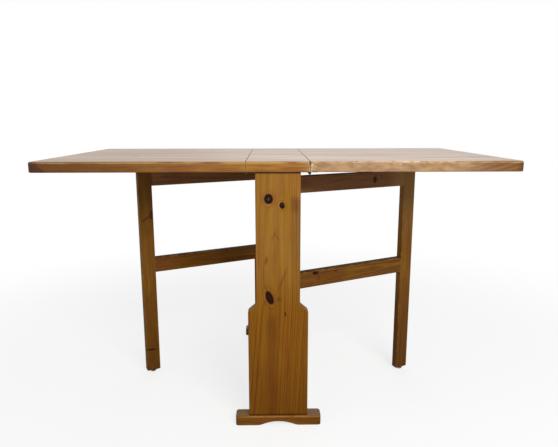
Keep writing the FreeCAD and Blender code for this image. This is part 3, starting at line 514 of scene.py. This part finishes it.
def topFinish(look, raw, drift, colour, shine, gloss):
    # streaks on the upper face; a worn front edge that fades to the right, partly painted light, with
    # painted shade to the left and painted glints and a painted highlight along its arris; dirt at the
    # seams and painted light inside them
    x, y, z = raw
    under = topHeight - z
    face = under.smooth(*look["faceDepth"])
    front = (y + halfDepth).smooth(*look["frontDepth"])
    frontOnly = front * (1.0 - face)
    grain = drift.grain(*look["grainNoise"])
    blotches = drift.grain(*look["blotchNoise"])
    specks = drift.grain(*look["speckNoise"])
    hue = drift.grain(*look["edgeHueNoise"])
    colour = layer(colour, grain, look["faceDark"], face)
    colour = layer(colour, grain, look["facePale"], face)
    colour = layer(colour, hue, look["edgeYellow"], front)
    colour = layer(colour, hue, look["edgeRed"], front)

    # partly a bleached finish, partly painted light, on the right leaf's front edge
    faded = front * x.smooth(*look["fadedFrom"]) * x.smooth(*look["fadedTo"])
    evenly, byBlotches = look["fadedShare"]
    colour = (faded * (blotches * byBlotches + evenly)).mix(colour, look["faded"])
    figure = drift.grain(*look["figureNoise"])
    colour = layer(colour, figure, look["figurePale"], faded)
    colour = layer(colour, figure, look["figureDark"], faded)
    # painted shade and a deeper finish, darker towards the left end
    colour = layer(colour, x, look["leftTone"], front)
    colour = layer(colour, x, look["rightTone"], front)

    slant = x.smooth(*look["bandTurn"]) * x + (z - topFrame["centre"].z)
    slant = slant + (hue - 0.5) * look["bandWobble"]
    place = (slant * look["bandCount"]).maths("FRACT")
    rise, fall = look["bandShape"]
    colour = layer(colour, abs(x), look["bands"], place.smooth(*rise) * place.smooth(*fall) * front)
    colour = layer(colour, halfLength - abs(x), look["corners"], frontOnly)
    wedge = x + (halfLength - look["wedgePlace"]) - under * look["wedgeSlope"]
    colour = layer(colour, wedge + (hue - 0.5) * look["wedgeWobble"], look["wedge"], front)

    upper = under.smooth(*look["chipDepth"])
    byBlotches, byFlakes, byHeight = look["chipMix"]
    flakes = drift.grain(*look["flakeNoise"])
    flaked = (blotches * byBlotches + flakes * byFlakes + upper * byHeight).smooth(*look["chipEdge"])
    everywhere, there = look["chipShare"]
    stretch = x.smooth(*look["chipFrom"]) * x.smooth(*look["chipTo"]) * there + everywhere
    # flaked varnish and painted glints along the right leaf's upper arris
    chipsAndGlints = front * upper * flaked * stretch
    colour = chipsAndGlints.mix(colour, look["worn"])
    # a painted highlight along the front edge's upper arris
    arris = frontOnly * under.smooth(*look["arrisDepth"])
    colour = layer(colour, hue, look["arris"], arris)

    seam = abs(abs(x) - seamPlace)
    # painted light on the inner walls of the seams
    colour = layer(colour, seam, look["seamWood"], under.smooth(*look["seamInside"]))
    colour = layer(colour, seam, look["seamDirt"], specks.smooth(*look["seamSpecks"]) * face)
    blot = under.smooth(*look["blotDepth"]) * front
    colour = layer(colour, abs(x - seamPlace), look["blot"], blot)
    splinters = specks.smooth(*look["splinterSpecks"]) * x.smooth(*look["splinterFrom"]) * front
    colour = layer(colour, seam, look["splinters"], splinters)

    flat = under.smooth(*look["flatDepth"])
    dull = under.smooth(*look["dullDepth"]) * (1.0 - flat) * look["arrisDull"]
    shine = shine + blotches * look["blotchDull"] + chipsAndGlints * look["chipDull"] + dull
    shine = shine + face * (grain - 0.5) * look["grainDull"]
    return colour, shine, gloss + flat * (look["faceGloss"] - gloss)


# where each knot lies along and across its board, and half its length and width
topKnots = [
    {"at": (0.575, -0.318), "size": (0.05, 0.022), "push": 0.016, "hidden": True},
    {"at": (0.05, -0.322), "size": (0.04, 0.02), "push": 0.012, "hidden": True},
    {"at": (-0.60, -0.315), "size": (0.05, 0.024), "push": 0.014, "hidden": True},
    {"at": (0.31, 0.21), "size": (0.013, 0.008), "push": 0.006, "turn": 10},
    {"at": (-0.42, -0.12), "size": (0.011, 0.008), "push": 0.005, "turn": -15},
    {"at": (0.50, -0.04), "size": (0.016, 0.01), "push": 0.006, "turn": 20},
    {"at": (-0.20, 0.25), "size": (0.009, 0.006), "push": 0.004, "turn": -5},
    {"at": (0.038, 0.334), "size": (0.018, 0.0016), "depth": 0.7, "ring": 0.0},
]
topWood = pine("pineTop", topFrame, topLook, topKnots, topFinish)
for board in topBoards:
    wear(board, topWood)
print("stage: top done")


# the end panels; heights are metres from the floor, a tint is what it keeps of each colour
# the dark heart streak; the colour of the painted shadow under the top and of the dirt at the foot
heartBrown, jointDirtAndShadow = paint(88, 44, 4), paint(20, 12, 8)
panelLook = {
    "ringWidth": 0.0045,
    "ringContrast": 1.0,
    "lateFrom": 0.55,
    "flame": 0.04,
    "flameWidth": 0.036,
    "bend": 0.07,
    "upperRings": 0.6,
    "cloudyNoise": ((3.0, 15.0, 15.0), 2.0),
    "lineNoise": ((4.0, 260.0, 260.0), 2.0),
    "lowTint": ((0.73, 0.59, 0.17, 1), 0.52, 0.30, 1.0),  # the lower part darker and browner: partly painted shade, partly a browner tone
    "lowWobble": 0.2,
    # darker still near the foot: partly painted shade, partly a browner tone
    "footTint": ((0.82, 0.78, 0.52, 1), 0.26, 0.03, 1.0),
    "sideTint": (0.66, 0.64, 0.90, 1),  # the browner right side of its narrow part
    "sideFrom": (0.030, 0.052),
    "sideHeights": ((0.665, 0.640), (0.40, 0.52)),
    "sideLines": (0.35, 0.6, 0.5, 1.1),
    "streak": (heartBrown, 0.024, 0.002, 0.45),  # the dark streak down its wide part
    "streakPlace": -0.018,
    "streakWobble": 0.03,
    "streakHeight": (0.36, 0.30),
    # a soft darker spot near the upper right of the narrow part
    "smudge": (heartBrown, 0.3, 0.5, 0.4),
    "smudgePlace": (0.044, 0.636),
    "smudgeWidth": (0.016, 0.004),
    "smudgeHeight": (0.03, 0.008),
    "topJoint": (jointDirtAndShadow, 0.0055, 0.0015, 0.9),  # a painted shadow under the top, and dirt where it meets the foot
    "footJoint": (jointDirtAndShadow, 0.0055, 0.001, 0.6),
}
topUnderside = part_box("front_end_panel")[1].z
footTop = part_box("front_foot")[1].z


def panelFinish(look, raw, drift, colour, shine, gloss):
    # painted shade and a browner tone towards the foot, a browner tone on one side, a dark streak, a
    # painted shadow under the top and dirt at the foot joint
    x, _, z = raw
    cloudy = drift.grain(*look["cloudyNoise"])
    height = z + (cloudy - 0.5) * look["lowWobble"]
    # painted shade and a browner tone, darker towards the foot
    colour = layer(colour, height, look["lowTint"], blend="MULTIPLY")
    colour = layer(colour, z, look["footTint"], blend="MULTIPLY")
    streak = abs(x + (cloudy - 0.5) * look["streakWobble"] - look["streakPlace"])
    colour = layer(colour, streak, look["streak"], z.smooth(*look["streakHeight"]))
    below, above = look["sideHeights"]
    side = x.smooth(*look["sideFrom"]) * z.smooth(*below) * z.smooth(*above)
    lines = drift.grain(*look["lineNoise"]).smooth(*look["sideLines"])
    colour = (side * lines).mix(colour, look["sideTint"], "MULTIPLY")
    # a soft darker spot, its strength following the clouds
    darkSpotX, darkSpotZ = look["smudgePlace"]
    smudge = (abs(x - darkSpotX).smooth(*look["smudgeWidth"])
              * abs(z - darkSpotZ).smooth(*look["smudgeHeight"]))
    colour = layer(colour, cloudy, look["smudge"], smudge)
    # a painted shadow along the panel's top, under the top's overhang
    colour = layer(colour, topUnderside - z, look["topJoint"])
    colour = layer(colour, z - footTop, look["footJoint"])
    return colour, shine, gloss


red = paint(54, 18, 6)  # the resin in some knots
frontKnots = [
    {"at": (0.2763, -0.025), "size": (0.013, 0.011), "push": 0.006, "specks": 0.5,
     "heart": paint(12, 6, 4), "rim": paint(34, 9, 0)},
    {"at": (0.2589, 0.0105), "size": (0.008, 0.0068), "push": 0.004, "turn": -20, "specks": 0.25,
     "heart": paint(20, 8, 4), "rim": paint(40, 14, 0), "ring": 0.6},
    {"at": (0.0038, -0.0236), "size": (0.0196, 0.0096), "push": 0.006, "turn": -20,
     "heart": paint(52, 12, 4), "rim": paint(34, 8, 0)},
    {"at": (0.0, 0.0035), "size": (0.005, 0.0044), "push": 0.002, "depth": 0.6,
     "heart": paint(110, 92, 50), "rim": paint(84, 52, 14)},
    {"at": (0.109, -0.032), "size": (0.008, 0.0032), "turn": 8, "depth": 0.3, "ring": 0.0,
     "heart": paint(96, 56, 12)},
    {"at": (0.055, 0.0124), "size": (0.02, 0.0014), "turn": 22, "depth": 0.15, "ring": 0.0,
     "halo": 3.0},
    {"at": (0.176, -0.0117), "size": (0.009, 0.0013), "turn": 25, "depth": 0.12, "ring": 0.0},
    {"at": (0.176, -0.0034), "size": (0.009, 0.0013), "turn": -30, "depth": 0.12, "ring": 0.0},
    {"at": (-0.0426, 0.0196), "size": (0.007, 0.002), "turn": -8, "depth": 0.7, "heart": red,
     "halo": 1.5, "ring": 0.0},
]
backKnots = [
    {"at": (0.10, 0.028), "size": (0.013, 0.01), "push": 0.006, "turn": 15},
    {"at": (-0.21, -0.036), "size": (0.009, 0.007), "push": 0.004},
]
panelBoards = {
    "front_end_panel": ("pineFrontPanel", frontKnots,
                        {"seed": 5.0, "pith": (-0.018, 0.052), "lean": (0.0, 0.011)}),
    "back_end_panel": ("pineBackPanel", backKnots,
                       {"seed": 8.0, "pith": (0.02, 0.026), "lean": (0.01, 0.014)}),
}
for node, (name, knots, changes) in panelBoards.items():
    wear(node, pine(name, boardFrame([node], zAxis, xAxis), dict(panelLook, **changes), knots,
                    panelFinish))

# the feet, with a painted highlight along their upper outer arris
footLook = {
    "seed": 11.0,
    "pith": (0.012, 0.03),
    "lean": (0.02, 0.03),
    "early": paint(120, 74, 14),
    "late": paint(84, 44, 4),
    "scuffNoise": ((30.0, 120.0, 120.0), 3.0),
    "arris": (paint(168, 118, 62), 0.3, 0.6, 0.6),
    "arrisUnder": 0.0018,           # how far under the upper face the arris is palest
    "arrisHeight": (0.0035, 0.0008),
    "arrisDepth": (0.005, 0.0015),  # from the outer face
    "ends": (paint(70, 48, 14), 0.07, 0.12, 0.35),
}
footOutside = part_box("back_foot")[1].y


def footFinish(look, raw, drift, colour, shine, gloss):
    # a painted highlight along the upper arris, darker olive at the ends
    x, y, z = raw
    height = abs(z - (footTop - look["arrisUnder"])).smooth(*look["arrisHeight"])
    rim = height * (footOutside - abs(y)).smooth(*look["arrisDepth"])
    # a painted highlight along the upper outer arris
    colour = layer(colour, drift.grain(*look["scuffNoise"]), look["arris"], rim)
    return layer(colour, abs(x), look["ends"]), shine, gloss


for number, foot in enumerate(("front_foot", "back_foot")):
    wear(foot, pine("pineFoot%d" % number, boardFrame([foot], xAxis, zAxis),
                    dict(footLook, seed=footLook["seed"] + number), finish=footFinish))

# the stretchers, cleats and blocks, of plain pine
trestleLook = {
    "seed": 20.0,
    "pith": (0.01, 0.03),
    "pithStep": 0.004,              # how much deeper each next board's pith lies
    "lean": (0.008, 0.012),
    "ways": {
        "upper_stretcher": yAxis, "lower_stretcher": yAxis,
        "front_left_cleat": xAxis, "front_right_cleat": xAxis,
        "back_left_cleat": xAxis, "back_right_cleat": xAxis,
        "left_pivot_block": yAxis, "right_pivot_block": yAxis,
    },
}
for number, (board, way) in enumerate(trestleLook["ways"].items()):
    pithAcross, pithDeep = trestleLook["pith"]
    changes = dict(trestleLook, seed=trestleLook["seed"] + number,
                   pith=(pithAcross, pithDeep + trestleLook["pithStep"] * number))
    wear(board, pine("pine_" + board, boardFrame([board], way, zAxis), changes))
print("stage: trestle done")


# the gates; their rails have colours of their own
gateLook = {
    "angle": math.radians(26.5),    # how far the gates stand out from the top's length
    "uprights": ("pivot_stile", "outer_leg"),
    "level": ("top_rail", "lower_rail", "stop"),
    "seed": 40.0,
    "seedStep": 10,                 # added on the right and taken off on the left
    "pith": (0.014, 0.018),
    "pithSteps": (-0.004, 0.006),   # how far each next board's pith moves
    "lean": (0.01, 0.015),
    "early": paint(125, 82, 24),
    "late": paint(84, 48, 8),
    "ringWidth": 0.0034,
    "patches": 0.3,
    "gloss": 0.03,
    "dusty": (paint(176, 136, 74), 0.42, 0.66, 0.5),  # painted light: the right leg is paler under its leaf
    "dustyFrom": (0.34, 0.40),
    "lowTint": ((0.66, 0.60, 0.44, 1), 0.46, 0.08, 1.0),  # the legs are darker near the floor
}
railLook = {
    "top_rail": {"early": paint(150, 104, 67), "late": paint(102, 65, 40), "patches": 0.2,
                 "grime": 0.7},
    "lower_rail": {"early": paint(116, 73, 24), "late": paint(68, 36, 8), "ringContrast": 0.95,
                   "grime": 0.7},
}
gateKnots = {
    "right_gate_top_rail": [
        {"at": (0.077, 0.0), "size": (0.0062, 0.009), "push": 0.004, "heart": paint(84, 54, 36),
         "rim": paint(24, 10, 4)},
        {"at": (0.102, 0.011), "size": (0.003, 0.002), "depth": 0.7, "heart": red, "ring": 0.0},
    ],
    "right_gate_lower_rail": [
        {"at": (-0.136, 0.018), "size": (0.0105, 0.0055), "push": 0.004, "heart": red, "ring": 0.0,
         "halo": 2.8},
        {"at": (-0.062, 0.0135), "size": (0.003, 0.002), "push": 0.001, "heart": red, "ring": 0.0},
        {"at": (-0.125, 0.0), "size": (0.006, 0.01), "depth": 0.35, "heart": red,
         "rim": paint(80, 44, 14), "ring": 0.0},
    ],
    "left_gate_outer_leg": [
        {"at": (0.187, -0.018), "size": (0.013, 0.007), "push": 0.004, "depth": 0.75, "ring": 0.0},
        {"at": (0.176, 0.0), "size": (0.0028, 0.018), "turn": 32, "depth": 0.5, "halo": 3.0,
         "ring": 0.0},
        {"at": (-0.2795, 0.006), "size": (0.0024, 0.016), "turn": -5, "halo": 2.6, "ring": 0.0},
    ],
}


def gateFinish(look, raw, drift, colour, shine, gloss):
    # painted light on the right outer leg up under its leaf, the legs darker near the floor
    x, _, z = raw
    # painted light, paler towards the top of the right outer leg
    colour = layer(colour, z, look["dusty"], x.smooth(*look["dustyFrom"]))
    return layer(colour, z, look["lowTint"], blend="MULTIPLY"), shine, gloss


openWay = Vector((math.cos(gateLook["angle"]), math.sin(gateLook["angle"]), 0))
for side, sign in (("right", 1), ("left", -1)):
    for number, board in enumerate(gateLook["uprights"] + gateLook["level"]):
        node = "%s_gate_%s" % (side, board)
        ways = (openWay * sign, zAxis) if board in gateLook["level"] else (zAxis, openWay * sign)
        pith = [first + step * number for first, step in zip(gateLook["pith"], gateLook["pithSteps"])]
        seed = gateLook["seed"] + number + gateLook["seedStep"] * sign
        changes = dict(gateLook, seed=seed, pith=pith, **railLook.get(board, {}))
        wear(node, pine("pine_" + node, boardFrame([node], *ways), changes, gateKnots.get(node, ()),
                        gateFinish))
print("stage: gates done")


# metal: its colour, its colour where it is dull, roughness and how much of it is dull
metalLook = {
    "hingeSteel": (paint(104, 88, 58), paint(40, 30, 22), 0.42, 0.8),
    "screwSteel": (paint(178, 172, 156), paint(90, 80, 66), 0.34, 0.5),
    "pivotSteel": (paint(185, 186, 188), paint(96, 90, 84), 0.26, 0.5),
    "glideMetal": (paint(196, 196, 192), paint(84, 80, 74), 0.26, 0.5),
    "cloudNoise": (90.0, 4.0, 0.6),
    "cloudFrom": (0.42, 0.68),
    "scratchNoise": ((260.0, 2340.0, 260.0), 2.0),
    "scratchDull": 0.2,
    "pitNoise": (900.0, 1.0),
    "pitFrom": (0.62, 0.72),
    "pitDepth": 0.5,
    "stainDull": 0.25,
    "stainMetal": 0.5,              # how much less metallic a stain is
    "relief": 0.0001,
    "reliefStrength": 0.25,
}


def metal(name):
    look = metalLook
    colour, dull, roughness, grime = look[name]
    material, shader, raw = newMaterial(name)
    scratch = raw.grain(*look["scratchNoise"])
    pits = raw.noise(*look["pitNoise"]).smooth(*look["pitFrom"]) * look["pitDepth"]
    stain = raw.noise(*look["cloudNoise"]).smooth(*look["cloudFrom"]) * grime
    bump = scratch.node("ShaderNodeBump", {}, {
        "Height": scratch - pits, "Strength": look["reliefStrength"], "Distance": look["relief"]})
    shine = roughness + (scratch - 0.5) * look["scratchDull"] + stain * look["stainDull"]
    feed(shader, Base_Color=pits.mix(stain.mix(colour, dull), dull), Roughness=shine, Normal=bump,
         Metallic=1.0 - stain * look["stainMetal"])
    return material


# the washers; each pair is a value and what its clouds add
nylonLook = {
    "white": paint(228, 224, 212),
    "yellowed": (paint(188, 180, 160), 0.4),
    "cloudNoise": (140.0, 3.0),
    "roughness": (0.42, 0.15),
}


def nylon():
    material, shader, raw = newMaterial("nylon")
    cloud = raw.noise(*nylonLook["cloudNoise"])
    yellowed, share = nylonLook["yellowed"]
    smooth, more = nylonLook["roughness"]
    feed(shader, Base_Color=(cloud * share).mix(nylonLook["white"], yellowed),
         Roughness=smooth + cloud * more)
    return material


# the dowels, of beech
beechLook = {
    "seed": 70.0,
    "pith": (0.2, 0.2),
    "early": paint(214, 178, 132),
    "late": paint(192, 152, 104),
    "worn": paint(226, 196, 154),
}
hingeSteel, screwSteel = metal("hingeSteel"), metal("screwSteel")
fittings = {"plates": hingeSteel, "hinge_pins": hingeSteel, "_pin": metal("pivotSteel"),
            "_glide": metal("glideMetal"), "_washer": nylon()}
for node in nodes:
    for ending, material in fittings.items():
        if node.endswith(ending):
            wear(node, material)
    if node.endswith("dowels"):
        wear(node, pine("beech_" + node, boardFrame([node], yAxis, zAxis), beechLook))
print("stage: fittings done")


# slotted wood screws; the named inputs of their tree, then what the script itself needs
screwLook = {
    "Slot Width": 0.001,
    "Slot Depth": 0.001,
    "Thread Pitch": 0.0024,
    "Thread Height": 0.0004,
    "Tip Length": 0.006,
    "Sides": 14,
    "Seed": 7,
    "rowsPerTurn": 4,
    "slotReach": 2.4,               # the slot's cutter and the thread's start, in head radii
    "threadStart": 1.5,
    "mergeDistance": 1e-6,
    "endShare": 0.04,               # how much of its length counts as a screw's end
}


def geometryTree(name, numbers, whole):
    # an empty node tree with a geometry socket and named inputs for its sizes
    tree = bpy.data.node_groups.new(name, "GeometryNodeTree")
    face = tree.interface
    face.new_socket("Geometry", in_out="INPUT", socket_type="NodeSocketGeometry")
    for label in numbers:
        face.new_socket(label, in_out="INPUT", socket_type="NodeSocketFloat")
    for label in whole:
        face.new_socket(label, in_out="INPUT", socket_type="NodeSocketInt")
    face.new_socket("Material", in_out="INPUT", socket_type="NodeSocketMaterial")
    face.new_socket("Geometry", in_out="OUTPUT", socket_type="NodeSocketGeometry")
    entry = tree.nodes.new("NodeGroupInput")
    return tree, {socket.name: Wire(tree, socket) for socket in entry.outputs if socket.name}


def screwTree():
    # slotted countersunk screws, one on each point of a mesh, their length along the point's way
    tree, size = geometryTree(
        "woodScrews", ["Length", "Head Radius", "Shank Radius", "Slot Width", "Slot Depth",
                       "Thread Pitch", "Thread Height", "Tip Length"], ["Sides", "Rows", "Seed"])
    start = size["Length"]
    head, shank = size["Head Radius"], size["Shank Radius"]
    # a grid rolled up: its columns go round the screw, its rows over the head and down to the tip
    grid = start.node("GeometryNodeMeshGrid", {}, {"Size X": 1.0, "Size Y": 1.0,
                                                   "Vertices X": size["Sides"] + 1,
                                                   "Vertices Y": size["Rows"]})
    column, row, _ = start.node("GeometryNodeInputPosition").parts()
    angle = (column + 0.5) * math.tau
    path = (row + 0.5) * (head + start)
    height = (path - head).maths("MAXIMUM", 0.0)
    taper = ((start - height) / size["Tip Length"]).maths("MINIMUM", 1.0)
    plain = path.maths("MINIMUM", shank.maths("MAXIMUM", 2.0 * head - path))
    threaded = (height - head * screwLook["threadStart"]).maths("GREATER_THAN", 0.0)
    ridge = (height / size["Thread Pitch"] - column).maths("FRACT")
    ridge = abs(ridge - 0.5) * 2.0 * size["Thread Height"] * threaded
    radius = (plain - ridge) * taper
    placed = start.node("ShaderNodeCombineXYZ", {}, {
        "X": radius * angle.maths("COSINE"), "Y": radius * angle.maths("SINE"), "Z": height})
    rolled = grid.node("GeometryNodeSetPosition", {}, {"Geometry": grid, "Position": placed})
    closed = rolled.node("GeometryNodeMergeByDistance", {}, {
        "Geometry": rolled, "Distance": screwLook["mergeDistance"]})
    block = start.node("GeometryNodeMeshCube", {}, {"Size": start.node("ShaderNodeCombineXYZ", {}, {
        "X": head * screwLook["slotReach"], "Y": size["Slot Width"], "Z": size["Slot Depth"] * 2.0})})
    slotted = closed.node("GeometryNodeMeshBoolean", {"operation": "DIFFERENCE"},
                          {"Mesh 1": closed, "Mesh 2": block})
    # each is turned to its way, then by chance about its own length
    way = start.node("GeometryNodeInputNamedAttribute", {"data_type": "FLOAT_VECTOR"}, {"Name": "way"})
    turned = start.node("FunctionNodeAlignRotationToVector", {"axis": "Z"}, {"Vector": way})
    spin = start.node("FunctionNodeRandomValue", {"data_type": "FLOAT"},
                      {2: 0.0, 3: math.tau, "Seed": size["Seed"]}, 1)
    spun = turned.node("FunctionNodeRotateRotation", {"rotation_space": "LOCAL"}, {
        0: turned, 1: start.node("FunctionNodeAxisAngleToRotation", {}, {0: (0, 0, 1), 1: spin})})
    many = start.node("GeometryNodeInstanceOnPoints", {}, {
        "Points": size["Geometry"], "Instance": slotted, "Rotation": spun})
    real = many.node("GeometryNodeRealizeInstances", {}, {"Geometry": many})
    painted = real.node("GeometryNodeSetMaterial", {}, {"Geometry": real, "Material": size["Material"]})
    tree.links.new(painted.socket, tree.nodes.new("NodeGroupOutput").inputs["Geometry"])
    return tree


def solidsOf(node):
    # the separate solids of a node, each as a list of its points
    work = bmesh.new()
    work.from_mesh(nodes[node].data)
    bmesh.ops.remove_doubles(work, verts=work.verts, dist=screwLook["mergeDistance"])
    left, solids = set(work.verts), []
    while left:
        group, queue = [], [left.pop()]
        while queue:
            point = queue.pop()
            group.append(point.co.copy())
            for edge in point.link_edges:
                other = edge.other_vert(point)
                if other in left:
                    left.remove(other)
                    queue.append(other)
        solids.append(group)
    work.free()
    return solids


def screwFacts(points):
    # where a screw's head lies, which way it points, and its length, head and shank radius
    low = Vector([min(point[axis] for point in points) for axis in range(3)])
    high = Vector([max(point[axis] for point in points) for axis in range(3)])
    size, centre = high - low, (low + high) / 2
    axis = max(range(3), key=lambda number: size[number])
    across = [number for number in range(3) if number != axis]

    def widest(some):
        return max((Vector([point[a] - centre[a] for a in across]).length for point in some), default=0)

    def radiusAt(level):
        return widest([point for point in points
                       if abs(point[axis] - level) < size[axis] * screwLook["endShare"]])

    sign = 1 if radiusAt(low[axis]) > radiusAt(high[axis]) else -1
    head = centre.copy()
    head[axis] = low[axis] if sign > 0 else high[axis]
    way = Vector((0, 0, 0))
    way[axis] = sign
    headRadius = size[across[0]] / 2
    shank = widest([point for point in points if abs(point[axis] - head[axis]) > headRadius])
    return head, way, size[axis], headRadius, shank


def makeScrews(node, material, slotName, tree, inputs):
    facts = [screwFacts(points) for points in solidsOf(node)]
    facts.sort(key=lambda fact: tuple(fact[0]))
    mesh = bpy.data.meshes.new(node + "Points")
    mesh.from_pydata([fact[0] for fact in facts], [], [])
    ways = mesh.attributes.new("way", "FLOAT_VECTOR", "POINT")
    for number, fact in enumerate(facts):
        ways.data[number].vector = fact[1]
    host = newObject(node + "Host", mesh)
    length, head, shank = facts[0][2:]
    rowHeight = screwLook["Thread Pitch"] / screwLook["rowsPerTurn"]
    values = dict(screwLook, Length=length, Material=material, Rows=round((length + head) / rowHeight))
    values["Head Radius"], values["Shank Radius"] = head, shank
    modifier = host.modifiers.new("screws", "NODES")
    modifier.node_group = tree
    for label in inputs:
        if label in values:
            modifier[inputs[label]] = values[label]
    view = bpy.context.evaluated_depsgraph_get()
    done = bpy.data.meshes.new_from_object(host.evaluated_get(view))
    done.materials.clear()
    done.materials.append(material)
    bpy.data.objects.remove(host)
    piece = newObject("slotted_" + node, done)
    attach(piece, nodes[node].parent.name.split(":")[1])
    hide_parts(node)
    return len(done.polygons), [round(value * 1000, 2) for value in (length, head, shank)]


tree = screwTree()
inputs = {item.name: item.identifier for item in tree.interface.items_tree if item.in_out == "INPUT"}
for node in sorted(nodes):
    if node.endswith("screws"):
        steel = (hingeSteel, "hinge_steel") if "hinge" in node else (screwSteel, "screw_steel")
        print("screws:", node, *makeScrews(node, *steel, tree, inputs))
print("stage: screws done")


# the studio; a lamp has its place, its aim, its size and its power in watts
studioLook = {
    "ambient": 0.5,                 # how much the surroundings light the table
    "floorSize": 12.0,
    "floor": paint(176, 174, 170),
    "floorBounce": (0.92, 0.92, 0.92, 1),
    "floorRoughness": 0.9,
    "floorMirror": 0.1,
    "floorWhite": (0.85, 2.1, 0.74, 1.0),  # where it turns white, and how white it is
    "lamps": {
        "keyLamp": ((0.9, -2.3, 1.9), (0.0, -0.2, 0.45), (1.3, 1.0), 52),
        "fillLamp": ((-2.4, -1.6, 1.5), (-0.2, 0.0, 0.4), (1.8, 1.6), 8),
        "backLamp": ((0.6, 3.0, 2.4), (0.0, 0.0, 0.7), (2.4, 1.2), 16),
    },
    "unmirrored": "keyLamp",        # kept out of reflections, where it would whiten the top
}


def floorMaterial():
    # pale near the table, where it takes the shadow, and plain white further off
    material, shader, raw = newMaterial("paleFloor")
    tree = material.node_tree
    x, y, _ = raw.parts()
    reach = (x * x + y * y) ** 0.5
    seen = Wire(tree, tree.nodes.new("ShaderNodeLightPath").outputs["Is Camera Ray"])
    feed(shader, Base_Color=seen.mix(studioLook["floor"], studioLook["floorBounce"]),
         Roughness=studioLook["floorRoughness"], Specular_IOR_Level=studioLook["floorMirror"])
    glow = raw.node("ShaderNodeEmission", {}, {"Color": (1, 1, 1, 1), "Strength": 1.0})
    share = seen * reach.smooth(*studioLook["floorWhite"])
    blended = raw.node("ShaderNodeMixShader", {}, {0: share, 1: Wire(tree, shader.outputs[0]), 2: glow})
    tree.links.new(blended.socket, tree.nodes["Material Output"].inputs["Surface"])
    return material


def makeFloor():
    size = studioLook["floorSize"]
    corners = [(-size, -size, 0), (size, -size, 0), (size, size, 0), (-size, size, 0)]
    mesh = bpy.data.meshes.new("floor")
    mesh.from_pydata(corners, [], [(0, 1, 2, 3)])
    mesh.materials.append(floorMaterial())
    floor = newObject("floor", mesh)


def makeWorld():
    # grey where it lights the table, white where it is seen or reflected
    world = bpy.data.worlds.new("studio")
    bpy.context.scene.world = world
    world.use_nodes = True
    tree = world.node_tree
    path = tree.nodes.new("ShaderNodeLightPath").outputs
    seen = Wire(tree, path["Is Camera Ray"]).maths("MAXIMUM", Wire(tree, path["Is Glossy Ray"]))
    seen = seen.maths("MAXIMUM", Wire(tree, path["Is Transmission Ray"]))
    grey = studioLook["ambient"]
    white = seen.mix((grey, grey, grey, 1), (1, 1, 1, 1))
    tree.links.new(white.socket, tree.nodes["Background"].inputs["Color"])


def softLamp(name, place, aim, size, power):
    data = bpy.data.lights.new(name, "AREA")
    data.shape = "RECTANGLE"
    data.size, data.size_y = size
    data.energy = power
    lamp = newObject(name, data)
    lamp.visible_glossy = name != studioLook["unmirrored"]
    lamp.location = place
    lamp.rotation_euler = (Vector(aim) - Vector(place)).to_track_quat("-Z", "Y").to_euler()


cameraLook = {
    "place": (-0.02117, -1.67434, 0.84913),
    "right": 1.012,                 # degrees that the camera looks to the right
    "down": 11.103,
    "roll": -0.064,
    "lens": 33.302,
    "sensor": 36.0,
}


def makeCamera():
    data = bpy.data.cameras.new("camera")
    data.lens = cameraLook["lens"]
    data.sensor_width = cameraLook["sensor"]
    camera = newObject("camera", data)
    turn = (Matrix.Rotation(math.radians(-cameraLook["right"]), 4, "Z")
            @ Matrix.Rotation(math.radians(90 - cameraLook["down"]), 4, "X")
            @ Matrix.Rotation(math.radians(cameraLook["roll"]), 4, "Z"))
    camera.matrix_world = Matrix.Translation(cameraLook["place"]) @ turn
    bpy.context.scene.camera = camera


makeFloor()
makeWorld()
for name, facts in studioLook["lamps"].items():
    softLamp(name, *facts)
makeCamera()
bpy.context.scene.view_settings.view_transform = "Standard"
print("stage: studio done")
